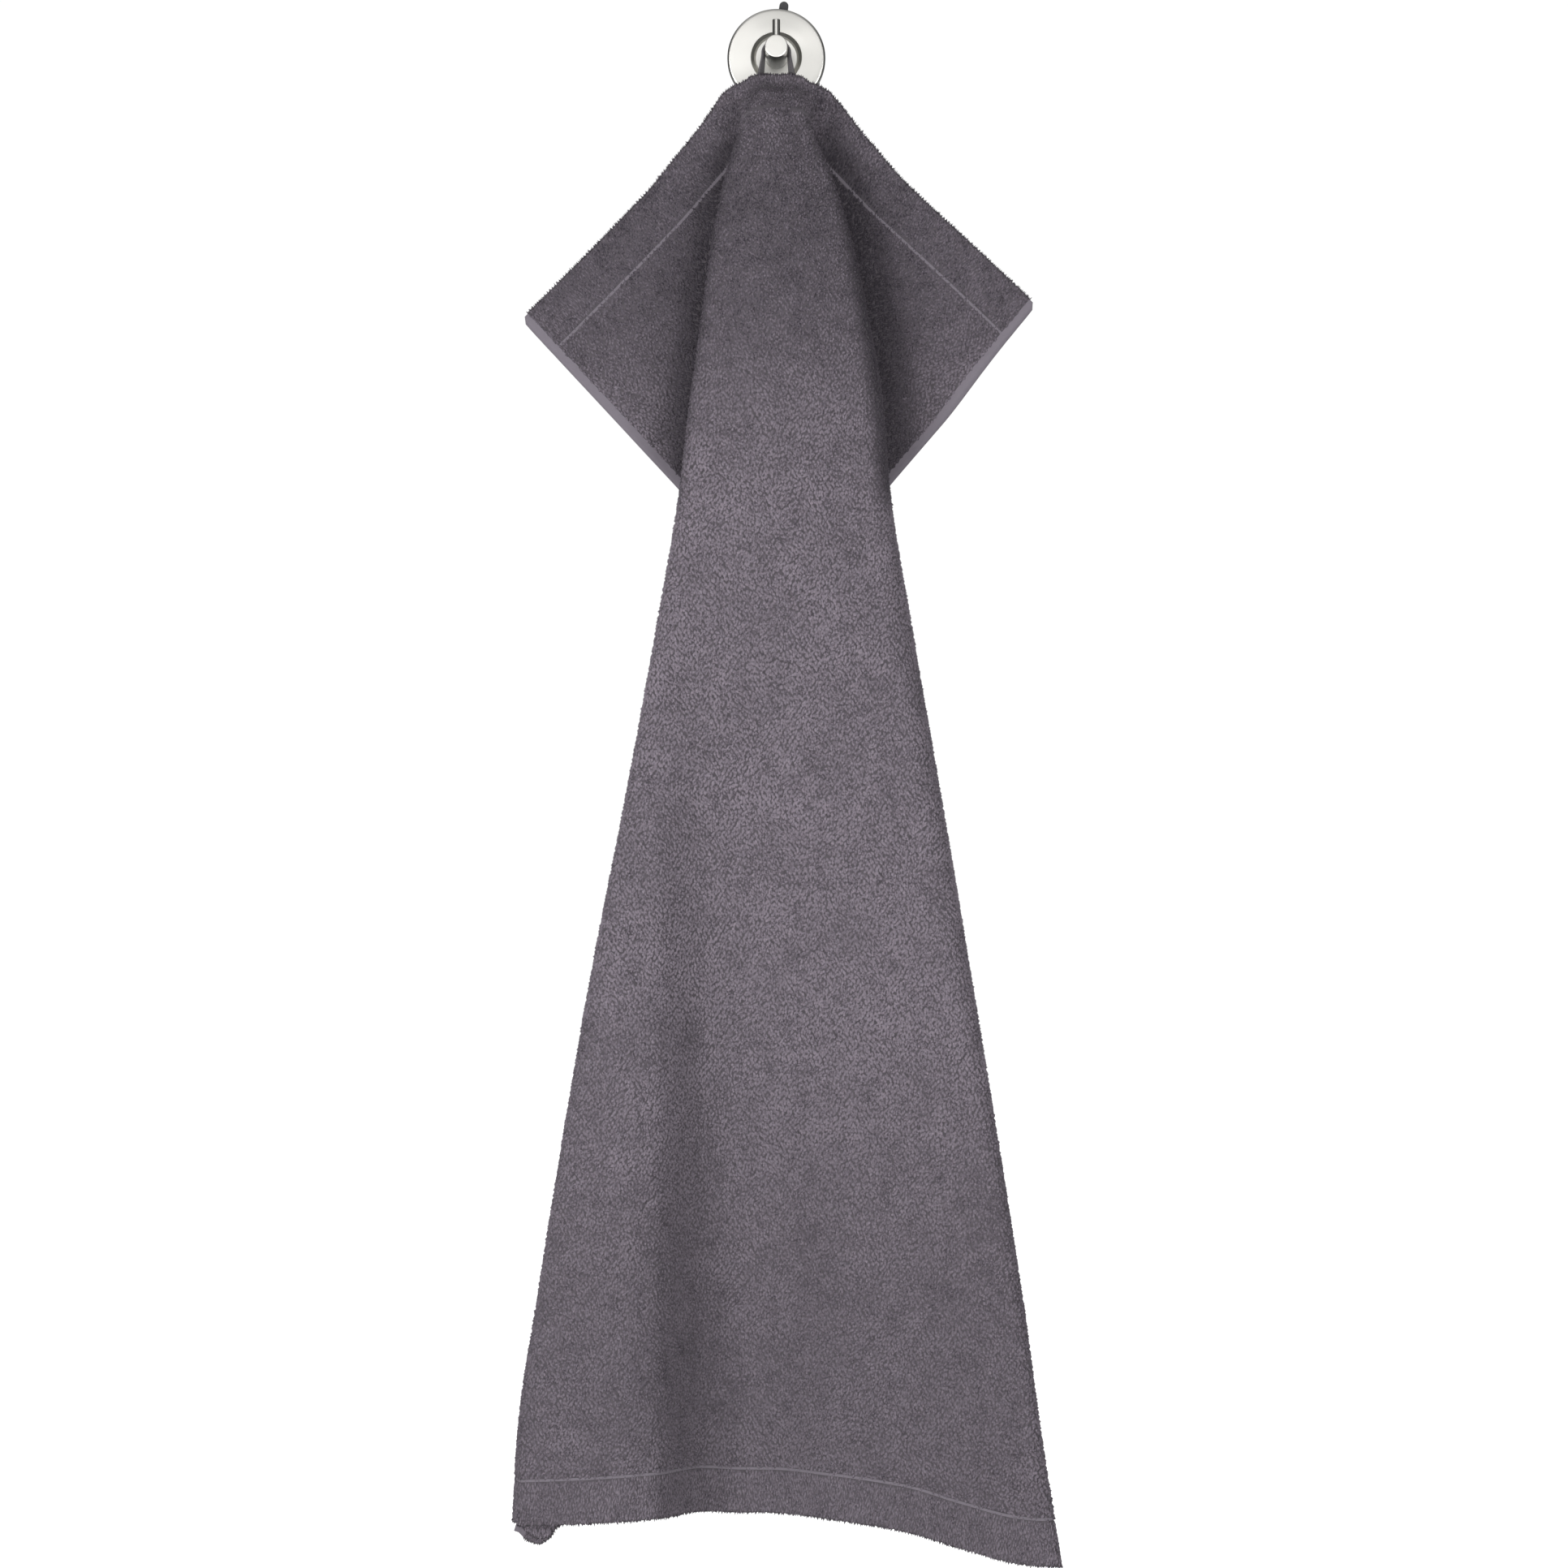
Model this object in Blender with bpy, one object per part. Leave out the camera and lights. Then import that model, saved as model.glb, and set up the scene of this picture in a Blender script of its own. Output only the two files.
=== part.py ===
"""Hand towel hanging by its tape loop from a round steel hook on a suction cup.

Metres, +Z up. The origin is the centre of the hook's flat back, on the wall plane y = 0,
and the towel hangs in front of it, towards -Y.
"""
import math

import bmesh
import bpy
import numpy as np
from mathutils import Vector

MM = 0.001

# Towel cloth
TOWEL_WIDTH = 500.0
TOWEL_LENGTH = 1000.0
CLOTH_THICKNESS = 3.0
SELVEDGE_WIDTH = 6.4
SELVEDGE_THINNING = 0.55
TOP_EDGE_Z = -15.4
TOP_EDGE_Y = -24.6

# The folds fan out from a point a little above the middle of the top edge
APEX_RISE = 10.0
PLEATS_BEGIN = (12.0, 28.0)
PLAIN_RADIUS = 32.0
HIDDEN_RADIUS = 303.0
EASED_RADIUS = 600.0

# Towel mesh
COLUMNS_PER_HALF = 27
TOP_ROWS = (0, 5, 11, 18, 26, 36, 48, 62, 80, 102, 130, 165, 205)
SIDE_ROWS = (2, 9, 22, 42, 70, 105, 145)
LOWER_ROWS = 22
FIRST_ROW_HALF = 14.0
STRAIGHT_STEP = 14.0
TURN_STEP = 0.62
EVEN_SHARE = 0.15
SPREAD_SAMPLES = 400
ROWS_TURN_ROUND = (40.0, 200.0)
LEVEL_ROWS_FROM = 700.0

# Steel hook
COVER_RADIUS = 34.0
COVER_BACK_Y = -2.4
COVER_FACE_Y = -8.9
COVER_CROWN_Y = -9.5
COVER_WALL = 1.2
RECESS_RADIUS = 17.4
RECESS_FLOOR_RADIUS = 14.6
RECESS_FLOOR_Y = -7.0
PEG_RADIUS = 7.7
PEG_TIP_Y = -45.3
PIN_RADIUS = 2.65
PIN_Y = -38.0
PIN_TOP_Z = 19.5
GAP = 0.3

# Suction cup
CUP_RADIUS = 33.0
CUP_PLATE = 2.0
CUP_BOSS_RADIUS = 12.0
TAB_WIDTH = 6.3
TAB_REACH = 39.2
TAB_TURN = math.radians(8.0)

# Hanger loop
TAPE_WIDTH = 5.6
TAPE_THICKNESS = 1.7
STRAND_X = 10.8
LOOP_Y = -23.0
SEWN_LENGTH = 11.0
SEWN_GAP = 0.8

# How the cloth hangs: one row for each distance from the apex, in millimetres
PANEL_COLUMNS = ("radius", "front_y", "bulge", "centre_x")
PANEL_ROWS = (
    (32, -36.0, 3.0, 0),
    (42, -40.0, 5.0, 0),
    (60, -43.0, 6.0, 0),
    (85, -46.0, 6.5, 0),
    (130, -51.0, 6.5, 0),
    (190, -55.5, 6.5, 0),
    (250, -58.5, 6.0, 0),
    (303, -59.5, 5.0, 0),
    (413, -60.5, 3.0, 0),
    (527, -60.0, 0.0, 0),
    (640, -56.0, 0.0, -2),
    (753, -48.0, 0.0, -8),
    (866, -37.0, 0.0, -18),
    (956, -26.0, 0.0, -26),
    (1045, -17.0, 0.0, -32),
)

# Each side's pleat: the outer fold is the front panel's edge, the inner fold lies hidden behind it
PLEAT_COLUMNS = ("radius", "fold_x", "fold_radius", "inner_x", "inner_radius", "inner_y", "wing_y")
LEFT_PLEAT = (
    (32, 20, 8.0, 20.0, 8.0, -24.0, -24.0),
    (42, 22, 6.0, 24.0, 6.0, -22.0, -22.0),
    (60, 26, 6.0, 21.0, 6.0, -19.5, -19.5),
    (85, 34, 6.0, 15.5, 6.0, -18.0, -17.5),
    (130, 43, 6.5, 6.5, 5.5, -23.0, -15.5),
    (190, 51, 6.0, -8.5, 4.5, -33.0, -14.0),
    (250, 59, 6.5, -24.5, 4.8, -35.5, -13.5),
    (303, 65, 7.0, -38.0, 5.0, -36.0, -13.5),
    (413, 83, 7.5, -30.0, 5.0, -36.0, -34.0),
    (527, 103, 8.0, -15.0, 5.0, -34.0, -34.0),
    (640, 124, 8.5, -8.0, 5.0, -30.0, -30.0),
    (753, 143, 9.0, 42.0, 5.5, -20.0, -20.0),
    (866, 161, 9.0, 96.0, 6.0, -7.0, -7.0),
    (956, 175, 9.0, 134.0, 7.0, 8.0, 8.0),
    (1045, 181, 9.0, 152.0, 7.5, 18.0, 18.0),
)
RIGHT_PLEAT = (
    (32, 20, 8.0, 20.0, 8.0, -24.0, -24.0),
    (42, 22, 6.0, 24.0, 6.0, -22.0, -22.0),
    (60, 26, 6.0, 21.0, 6.0, -19.5, -19.5),
    (85, 36, 6.0, 16.5, 6.0, -17.5, -17.5),
    (130, 50, 8.5, 15.5, 6.0, -15.5, -15.5),
    (190, 63, 13.0, 9.0, 5.0, -14.0, -14.0),
    (250, 73, 15.0, -3.5, 5.5, -13.5, -13.5),
    (303, 77, 15.0, -18.5, 5.5, -13.5, -13.5),
    (413, 94, 15.0, -15.0, 5.5, -13.5, -13.5),
    (527, 113, 15.0, -4.0, 5.5, -13.5, -13.5),
    (640, 131, 14.0, 4.0, 5.0, -13.5, -13.5),
    (753, 149, 13.0, 30.0, 5.0, -10.0, -10.0),
    (866, 166, 12.0, 50.0, 5.0, -2.0, -2.0),
    (956, 178, 10.0, 60.0, 5.0, 8.0, 8.0),
    (1045, 192, 8.0, 70.0, 5.0, 15.0, 15.0),
)

# How far each wing has swung in behind the panel, in degrees
GATHER_COLUMNS = ("radius", "left", "right")
GATHER_ROWS = (
    (32, 13.5, 13.5),
    (42, 18.0, 17.0),
    (55, 26.5, 22.8),
    (69, 32.3, 29.0),
    (89, 36.5, 34.0),
    (130, 40.8, 38.6),
    (192, 42.3, 39.9),
    (251, 42.9, 40.7),
)

# The right wing is drawn up a little by a pucker in its top hem
RIGHT_TAKE_UP = 4.5
TAKE_UP_FROM_SHARE = 0.45
TAKE_UP_BEGINS = (35.0, 55.0)
TAKE_UP_ENDS = (247.0, 275.0)

# Soft troughs and ridges of the lower panel, across the hem: x, depth forward and drop of the hem
HEM_COLUMNS = ("x", "forward", "drop")
HEM_ROWS = (
    (-190, 36.0, -7.0),
    (-150, 45.0, -9.0),
    (-105, 53.0, -11.0),
    (-84, 49.0, -11.0),
    (-50, 8.0, -12.0),
    (-28, 0.0, -10.0),
    (0, 7.0, -12.0),
    (42, 34.0, -14.0),
    (85, 46.0, -11.0),
    (125, 62.0, -4.0),
    (165, 80.0, 1.0),
    (195, 94.0, -1.0),
)
RIPPLE_START = 330.0
RIPPLE_END = 1010.0

# The flap behind the left fold curls at the hem: distance left of the middle and drop of its edge
FLAP_COLUMNS = ("x", "drop")
FLAP_ROWS = (
    (143, -7.0),
    (150, -6.5),
    (156, 2.0),
    (164, 5.5),
    (172, 3.0),
    (180, -4.0),
    (186, -5.0),
)
FLAP_TURN = 16.0
FLAP_CURLS = (935.0, 1012.0)

# Samples along a section, and the wing's length and slope behind the inner folds
FRONT_SAMPLES = 40
TURN_SAMPLES = 25
LEG_SAMPLES = 28
WING_SAMPLES = 90
WING_REACH = 260.0
WING_SLOPE = 38.0
PAST_OWN_FOLD = 4.0
PAST_OTHER_FOLD = 8.0


def columns(names, rows):
    """Gives a table's columns by name."""
    return dict(zip(names, np.array(rows, dtype=float).T))


PANEL = columns(PANEL_COLUMNS, PANEL_ROWS)
GATHER = columns(GATHER_COLUMNS, GATHER_ROWS)
HEM = columns(HEM_COLUMNS, HEM_ROWS)
FLAP = columns(FLAP_COLUMNS, FLAP_ROWS)
PLEATS = {
    "left": columns(PLEAT_COLUMNS, LEFT_PLEAT),
    "right": columns(PLEAT_COLUMNS, RIGHT_PLEAT),
}


def slopes(x, y):
    """Slopes of a smooth curve through the points that never overshoots them."""
    h = np.diff(x)
    d = np.diff(y) / h
    m = np.zeros_like(y)
    m[0], m[-1] = d[0], d[-1]
    same = d[:-1] * d[1:] > 0
    w1 = 2 * h[1:] + h[:-1]
    w2 = h[1:] + 2 * h[:-1]
    safe_before = np.where(same, d[:-1], 1.0)
    safe_after = np.where(same, d[1:], 1.0)
    m[1:-1] = np.where(same, (w1 + w2) / (w1 / safe_before + w2 / safe_after), 0.0)
    return m


SLOPES = {}


def smooth(table, x_name, y_name, x):
    """Reads a column of a table at any x, along a smooth curve."""
    xs = table[x_name]
    ys = table[y_name]
    key = (id(table), y_name)
    if key not in SLOPES:
        SLOPES[key] = slopes(xs, ys)
    m = SLOPES[key]
    x = np.clip(x, xs[0], xs[-1])
    i = np.clip(np.searchsorted(xs, x) - 1, 0, len(xs) - 2)
    h = xs[i + 1] - xs[i]
    t = (x - xs[i]) / h
    t2 = t * t
    t3 = t2 * t
    return (
        (2 * t3 - 3 * t2 + 1) * ys[i]
        + (t3 - 2 * t2 + t) * h * m[i]
        + (3 * t2 - 2 * t3) * ys[i + 1]
        + (t3 - t2) * h * m[i + 1]
    )


def ease(a, b, x):
    """Rises smoothly from 0 at a to 1 at b."""
    t = np.clip((x - a) / (b - a), 0.0, 1.0)
    return t * t * (3 - 2 * t)


def edge_angle(r):
    """Angle of the cloth's edge about the apex, on the flat cloth."""
    half = TOWEL_WIDTH / 2
    if r * r < half * half + APEX_RISE * APEX_RISE:
        return math.acos(min(1.0, APEX_RISE / r))
    return math.asin(half / r)


def ripple(x, r):
    """Forward bulge of the lower panel's soft ridges, which grow towards the hem."""
    return smooth(HEM, "x", "forward", x) * ease(RIPPLE_START, RIPPLE_END, r)


def pleat_path(r, side):
    """Section of one half of the cloth at distance r from the apex.

    Gives x outwards and y as fine samples from the middle of the panel, round the outer fold,
    back in to the inner fold and out along the wing, and the sample where the outer fold starts.
    """
    scale = 1.0
    at = r
    if r < PLAIN_RADIUS:
        at = PLAIN_RADIUS
        scale = r * edge_angle(r) / (at * edge_angle(at))
    row = {name: float(smooth(PLEATS[side], "radius", name, at)) for name in PLEAT_COLUMNS[1:]}
    panel = {name: float(smooth(PANEL, "radius", name, at)) for name in PANEL_COLUMNS[1:]}
    sign = -1.0 if side == "left" else 1.0
    r1, r2 = row["fold_radius"], row["inner_radius"]
    front_y, wing_y = panel["front_y"], row["wing_y"]
    c1 = Vector((row["fold_x"] - r1, front_y + r1))
    c2 = Vector((row["inner_x"] + r2, row["inner_y"] - r2))
    d = c2 - c1
    straight = math.sqrt(max(d.length_squared - (r1 + r2) ** 2, 0.01))
    turn = math.atan2(d.y, d.x) + math.atan2(r1 + r2, straight)
    a = np.linspace(0.0, turn, TURN_SAMPLES)
    front = np.linspace(sign * panel["centre_x"], c1.x, FRONT_SAMPLES)
    fold_x = c1.x + r1 * np.sin(a)
    fold_y = c1.y - r1 * np.cos(a)
    inner_x = c2.x - r2 * np.sin(a[::-1])
    inner_y = c2.y + r2 * np.cos(a[::-1])
    leg = np.linspace(0.0, 1.0, LEG_SAMPLES + 2)[1:-1]
    leg_x = fold_x[-1] + (inner_x[0] - fold_x[-1]) * leg
    leg_y = fold_y[-1] + (inner_y[0] - fold_y[-1]) * leg
    wing = np.linspace(c2.x, c2.x + WING_REACH, WING_SAMPLES + 1)[1:]
    other_fold = -float(smooth(PLEATS["right"], "radius", "inner_x", at))
    past = max(c2.x + PAST_OWN_FOLD, other_fold + PAST_OTHER_FOLD)
    wing_level = row["inner_y"] + (wing_y - row["inner_y"]) * ease(past, past + WING_SLOPE, wing)
    x = np.concatenate((front, fold_x[1:], leg_x, inner_x, wing))
    y = np.concatenate((np.full(FRONT_SAMPLES, front_y), fold_y[1:], leg_y, inner_y, wing_level))
    y -= panel["bulge"] * np.clip(1 - (x / row["fold_x"]) ** 2, 0.0, 1.0) ** 2
    if r < PLAIN_RADIUS:
        folded = ease(*PLEATS_BEGIN, r)
        unfolded = run_lengths(x, y)
        x = (unfolded + (x - unfolded) * folded) * scale
        y = TOP_EDGE_Y + (y - TOP_EDGE_Y) * scale * folded
    y = y - ripple(sign * x, r)
    return x, y, FRONT_SAMPLES - 1


def run_lengths(x, y):
    """Distance along a section at each of its samples."""
    return np.concatenate(((0.0,), np.cumsum(np.hypot(np.diff(x), np.diff(y)))))


def easing(r, side):
    """How much of its length the cloth behind the panel takes up in the section at distance r."""
    at = min(max(r, PLAIN_RADIUS), HIDDEN_RADIUS)
    x, y, fold = pleat_path(at, side)
    length = run_lengths(x, y)
    gather = math.radians(float(smooth(GATHER, "radius", side, at)))
    reach = at * (edge_angle(at) - gather)
    first = len(x) - WING_SAMPLES
    end = float(np.interp(reach, x[first:], length[first:]))
    factor = (end - length[fold]) / (at * edge_angle(at) - length[fold])
    return factor + (1.0 - factor) * ease(HIDDEN_RADIUS, EASED_RADIUS, r)


SECTIONS = {}


def section(r, side):
    """Section with its cloth coordinate: the distance r times the angle on the flat cloth."""
    key = (round(r, 2), side)
    if key not in SECTIONS:
        x, y, fold = pleat_path(r, side)
        length = run_lengths(x, y)
        front = length[fold]
        cloth = np.where(length < front, length, front + (length - front) / easing(r, side))
        SECTIONS[key] = (x, y, cloth, front)
    return SECTIONS[key]


def cloth_point(u, v):
    """Place in the world of the cloth's point u across from its middle and v down from its top edge."""
    r = math.hypot(u, v + APEX_RISE)
    side = "left" if u < 0 else "right"
    sign = -1.0 if u < 0 else 1.0
    x, y, cloth, front = section(r, side)
    s = r * math.atan2(abs(u), v + APEX_RISE)
    taken = 0.0
    if side == "right" and r > TAKE_UP_BEGINS[0]:
        taken = RIGHT_TAKE_UP * ease(TAKE_UP_FROM_SHARE, 1.0, s / (r * edge_angle(r)))
        taken *= ease(*TAKE_UP_BEGINS, r) * (1.0 - ease(*TAKE_UP_ENDS, r))
    across = float(np.interp(s, cloth, x))
    depth = float(np.interp(s, cloth, y))
    turn = sign * across / r
    down = math.sqrt(max(r * r - (depth - TOP_EDGE_Y) ** 2, 0.0)) - taken
    drop = float(smooth(HEM, "x", "drop", sign * across)) * ease(RIPPLE_START, RIPPLE_END, r)
    if side == "left":
        behind = ease(front, front + FLAP_TURN, s)
        drop += float(smooth(FLAP, "x", "drop", across)) * behind * ease(*FLAP_CURLS, r)
    apex_z = TOP_EDGE_Z + APEX_RISE
    return Vector((down * math.sin(turn), depth, apex_z - down * math.cos(turn) - drop))


def spread(r, side):
    """Shares of the cloth's half width at which the mesh has its columns, closer round the folds."""
    x, y, cloth, _ = section(r, side)
    total = r * edge_angle(r)
    fine = np.linspace(0.0, total, SPREAD_SAMPLES)
    px = np.interp(fine, cloth, x)
    py = np.interp(fine, cloth, y)
    heading = np.unwrap(np.arctan2(np.diff(py), np.diff(px)))
    step = np.hypot(np.diff(px), np.diff(py))
    turning = np.abs(np.diff(heading, prepend=heading[0]))
    weight = step / STRAIGHT_STEP + turning / TURN_STEP
    weight += weight.mean() * EVEN_SHARE
    run = np.concatenate(((0.0,), np.cumsum(weight)))
    return np.interp(np.linspace(0.0, run[-1], COLUMNS_PER_HALF + 1), run, fine / total)


def row_points(radius, share_left, share_right, top):
    """Flat cloth coordinates along one row of the mesh, from the left edge to the right."""
    half = TOWEL_WIDTH / 2
    points = []
    shares = [-s for s in share_left[:0:-1]] + list(share_right)
    centre_v = radius - APEX_RISE
    level = ease(LEVEL_ROWS_FROM, TOWEL_LENGTH + APEX_RISE, radius)
    reach = min(half, math.sqrt(centre_v ** 2 + 2 * centre_v * APEX_RISE + FIRST_ROW_HALF ** 2))
    bend = ease(0.0, FIRST_ROW_HALF, centre_v)
    round_part = ease(*ROWS_TURN_ROUND, radius)
    for share in shares:
        if top:
            u = reach * (share + (math.sin(share * math.pi / 2) - share) * bend)
            v = centre_v * math.cos(share * math.pi / 2)
            u += (radius * math.sin(share * edge_angle(radius)) - u) * round_part
            v += (radius * math.cos(share * edge_angle(radius)) - APEX_RISE - v) * round_part
        else:
            u = radius * math.sin(share * edge_angle(radius))
            bowed = math.sqrt(radius ** 2 - u ** 2) - APEX_RISE
            v = bowed + (centre_v - bowed) * level
        points.append((u, v))
    return points


def towel_rows():
    """All rows of the towel's mesh in flat cloth coordinates, from the top hem to the bottom hem."""
    corner = math.hypot(TOWEL_WIDTH / 2, APEX_RISE)
    last = TOWEL_LENGTH + APEX_RISE
    radii = [(APEX_RISE + v, True) for v in TOP_ROWS]
    radii.append((corner, True))
    radii += [(corner + v, False) for v in SIDE_ROWS]
    start = corner + SIDE_ROWS[-1]
    radii += [(start + (last - start) * i / LOWER_ROWS, False) for i in range(1, LOWER_ROWS + 1)]
    rows = []
    for radius, top in radii:
        at = max(radius, APEX_RISE + 4.0)
        rows.append(row_points(radius, spread(at, "left"), spread(at, "right"), top))
    return rows


def material(name, colour, roughness, metallic=0.0):
    """A plain Principled material."""
    mat = bpy.data.materials.new(name)
    mat.use_nodes = True
    shader = mat.node_tree.nodes["Principled BSDF"]
    shader.inputs["Base Color"].default_value = (*colour, 1.0)
    shader.inputs["Roughness"].default_value = roughness
    shader.inputs["Metallic"].default_value = metallic
    mat.diffuse_color = (*colour, 1.0)
    return mat


def add_object(name, bm, mat, parent):
    """Turns a bmesh into a named object with its material."""
    bmesh.ops.recalc_face_normals(bm, faces=bm.faces)
    mesh = bpy.data.meshes.new(name)
    bm.to_mesh(mesh)
    bm.free()
    mesh.materials.append(mat)
    obj = bpy.data.objects.new(name, mesh)
    bpy.context.scene.collection.objects.link(obj)
    obj.parent = parent
    return obj


def make_towel(mat, parent):
    """The cloth as one sheet on its folds, thinner along the selvedges."""
    rows = towel_rows()
    bm = bmesh.new()
    grid = []
    edge = []
    for row in rows:
        line = []
        for u, v in row:
            vert = bm.verts.new(cloth_point(u, v) * MM)
            line.append(vert)
            if TOWEL_WIDTH / 2 - abs(u) < SELVEDGE_WIDTH / 2:
                edge.append(vert)
        grid.append(line)
    for above, below in zip(grid, grid[1:]):
        for i in range(len(above) - 1):
            bm.faces.new((above[i], below[i], below[i + 1], above[i + 1]))
    bm.verts.index_update()
    thin = [vert.index for vert in edge]
    count = len(bm.verts)
    mesh = bpy.data.meshes.new("towel")
    bm.to_mesh(mesh)
    bm.free()
    mesh.materials.append(mat)
    obj = bpy.data.objects.new("towel", mesh)
    bpy.context.scene.collection.objects.link(obj)
    obj.parent = parent
    group = obj.vertex_groups.new(name="pile")
    group.add(list(range(count)), 1.0, "REPLACE")
    group.add(thin, SELVEDGE_THINNING, "REPLACE")
    solid = obj.modifiers.new("thickness", "SOLIDIFY")
    solid.thickness = CLOTH_THICKNESS * MM
    solid.offset = 0.0
    solid.vertex_group = "pile"
    split = obj.modifiers.new("triangles", "TRIANGULATE")
    split.quad_method = "SHORTEST_DIAGONAL"
    mesh.shade_smooth()
    return obj


def turned(name, profile, mat, parent, steps=64):
    """Spins a closed profile of (radius, y) points about the hook's axis."""
    bm = bmesh.new()
    rings = []
    for radius, y in profile:
        if radius < 1e-9:
            rings.append([bm.verts.new((0.0, y * MM, 0.0))])
            continue
        ring = []
        for k in range(steps):
            angle = 2 * math.pi * k / steps
            ring.append(bm.verts.new((radius * MM * math.cos(angle), y * MM, radius * MM * math.sin(angle))))
        rings.append(ring)
    pairs = list(zip(rings, rings[1:]))
    if profile[0][0] > 1e-9:
        pairs.append((rings[-1], rings[0]))
    for a, b in pairs:
        for k in range(steps):
            m = (k + 1) % steps
            if len(a) == 1:
                bm.faces.new((a[0], b[k], b[m]))
            elif len(b) == 1:
                bm.faces.new((a[k], b[0], a[m]))
            else:
                bm.faces.new((a[k], b[k], b[m], a[m]))
    obj = add_object(name, bm, mat, parent)
    obj.data.shade_smooth()
    obj.data.set_sharp_from_angle(angle=math.radians(35))
    return obj


def arc(cx, cy, radius, start, end, steps):
    """Points of an arc in a turned profile, angles in degrees."""
    angles = np.radians(np.linspace(start, end, steps))
    return [(cx + radius * math.cos(t), cy + radius * math.sin(t)) for t in angles]


def make_cover(mat, parent):
    """The pressed steel cover: a thin shell, open at the back, with a round recess for the peg."""
    rim = 2.2
    inner = COVER_RADIUS - COVER_WALL
    profile = [(0.0, RECESS_FLOOR_Y)]
    profile += [(RECESS_FLOOR_RADIUS, RECESS_FLOOR_Y), (RECESS_RADIUS - 0.5, COVER_CROWN_Y + 0.4)]
    profile += [(RECESS_RADIUS, COVER_CROWN_Y), (COVER_RADIUS - rim, COVER_FACE_Y)]
    profile += arc(COVER_RADIUS - rim, COVER_FACE_Y + rim, rim, -72, 0, 5)
    profile += [(COVER_RADIUS, COVER_BACK_Y), (inner, COVER_BACK_Y), (inner, COVER_FACE_Y + rim)]
    profile += [(COVER_RADIUS - rim, COVER_FACE_Y + COVER_WALL)]
    profile += [(RECESS_RADIUS + 0.4, COVER_CROWN_Y + COVER_WALL)]
    profile += [(RECESS_FLOOR_RADIUS + 0.6, RECESS_FLOOR_Y + COVER_WALL), (0.0, RECESS_FLOOR_Y + COVER_WALL)]
    return turned("hook_cover", profile, mat, parent)


def make_peg(mat, parent):
    """The round bar, with a softened rim at its tip."""
    base = RECESS_FLOOR_Y - GAP
    rim = 0.8
    profile = [(0.0, base), (PEG_RADIUS, base)]
    profile += arc(PEG_RADIUS - rim, PEG_TIP_Y + rim, rim, 0, -90, 4)
    profile += [(0.0, PEG_TIP_Y)]
    return turned("hook_peg", profile, mat, parent, steps=40)


def make_pin(mat, parent):
    """The short pin, with its foot shaped to the peg's round top."""
    seat = PEG_RADIUS + GAP
    rim = 0.5
    steps = 24
    bm = bmesh.new()
    rings = []
    for radius, z in ((PIN_RADIUS, None), (PIN_RADIUS, PIN_TOP_Z - rim), (PIN_RADIUS - rim, PIN_TOP_Z)):
        ring = []
        for k in range(steps):
            angle = 2 * math.pi * k / steps
            x = radius * math.cos(angle)
            height = math.sqrt(seat ** 2 - x ** 2) if z is None else z
            ring.append(bm.verts.new((x * MM, (PIN_Y + radius * math.sin(angle)) * MM, height * MM)))
        rings.append(ring)
    for a, b in zip(rings, rings[1:]):
        for k in range(steps):
            m = (k + 1) % steps
            bm.faces.new((a[k], a[m], b[m], b[k]))
    foot = bm.verts.new((0.0, PIN_Y * MM, seat * MM))
    for k in range(steps):
        bm.faces.new((rings[0][(k + 1) % steps], rings[0][k], foot))
    bm.faces.new(rings[-1])
    obj = add_object("peg_pin", bm, mat, parent)
    obj.data.shade_smooth()
    obj.data.set_sharp_from_angle(angle=math.radians(40))
    return obj


def make_cup(mat, parent):
    """The rubber cup: a flat plate with a pull tab at its rim and a boss behind the cover."""
    half = TAB_WIDTH / 2
    start = math.asin(half / CUP_RADIUS)
    outline = []
    for k in range(61):
        angle = start + (2 * math.pi - 2 * start) * k / 60
        outline.append((CUP_RADIUS * math.sin(angle), CUP_RADIUS * math.cos(angle)))
    for k in range(9):
        angle = math.pi - math.pi * k / 8
        outline.append((half * math.cos(angle), TAB_REACH - half + half * math.sin(angle)))
    bm = bmesh.new()
    back = []
    for x, z in outline:
        px = x * math.cos(TAB_TURN) + z * math.sin(TAB_TURN)
        pz = z * math.cos(TAB_TURN) - x * math.sin(TAB_TURN)
        back.append(bm.verts.new((px * MM, 0.0, pz * MM)))
    plate = bm.faces.new(back)
    raised = bmesh.ops.extrude_face_region(bm, geom=[plate])
    lifted = [item for item in raised["geom"] if isinstance(item, bmesh.types.BMVert)]
    bmesh.ops.translate(bm, verts=lifted, vec=(0.0, -CUP_PLATE * MM, 0.0))
    cup = add_object("suction_cup", bm, mat, parent)
    boss_front = RECESS_FLOOR_Y + COVER_WALL + GAP
    foot_radius = CUP_BOSS_RADIUS + 6.0
    profile = [(0.0, -CUP_PLATE / 2), (foot_radius, -CUP_PLATE / 2), (foot_radius, -CUP_PLATE - 0.4)]
    profile += [(CUP_BOSS_RADIUS, boss_front), (0.0, boss_front)]
    boss = turned("cup_boss", profile, mat, parent, steps=32)
    boss.hide_render = True
    boss.display_type = "WIRE"
    union = cup.modifiers.new("boss", "BOOLEAN")
    union.operation = "UNION"
    union.object = boss
    return cup


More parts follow.
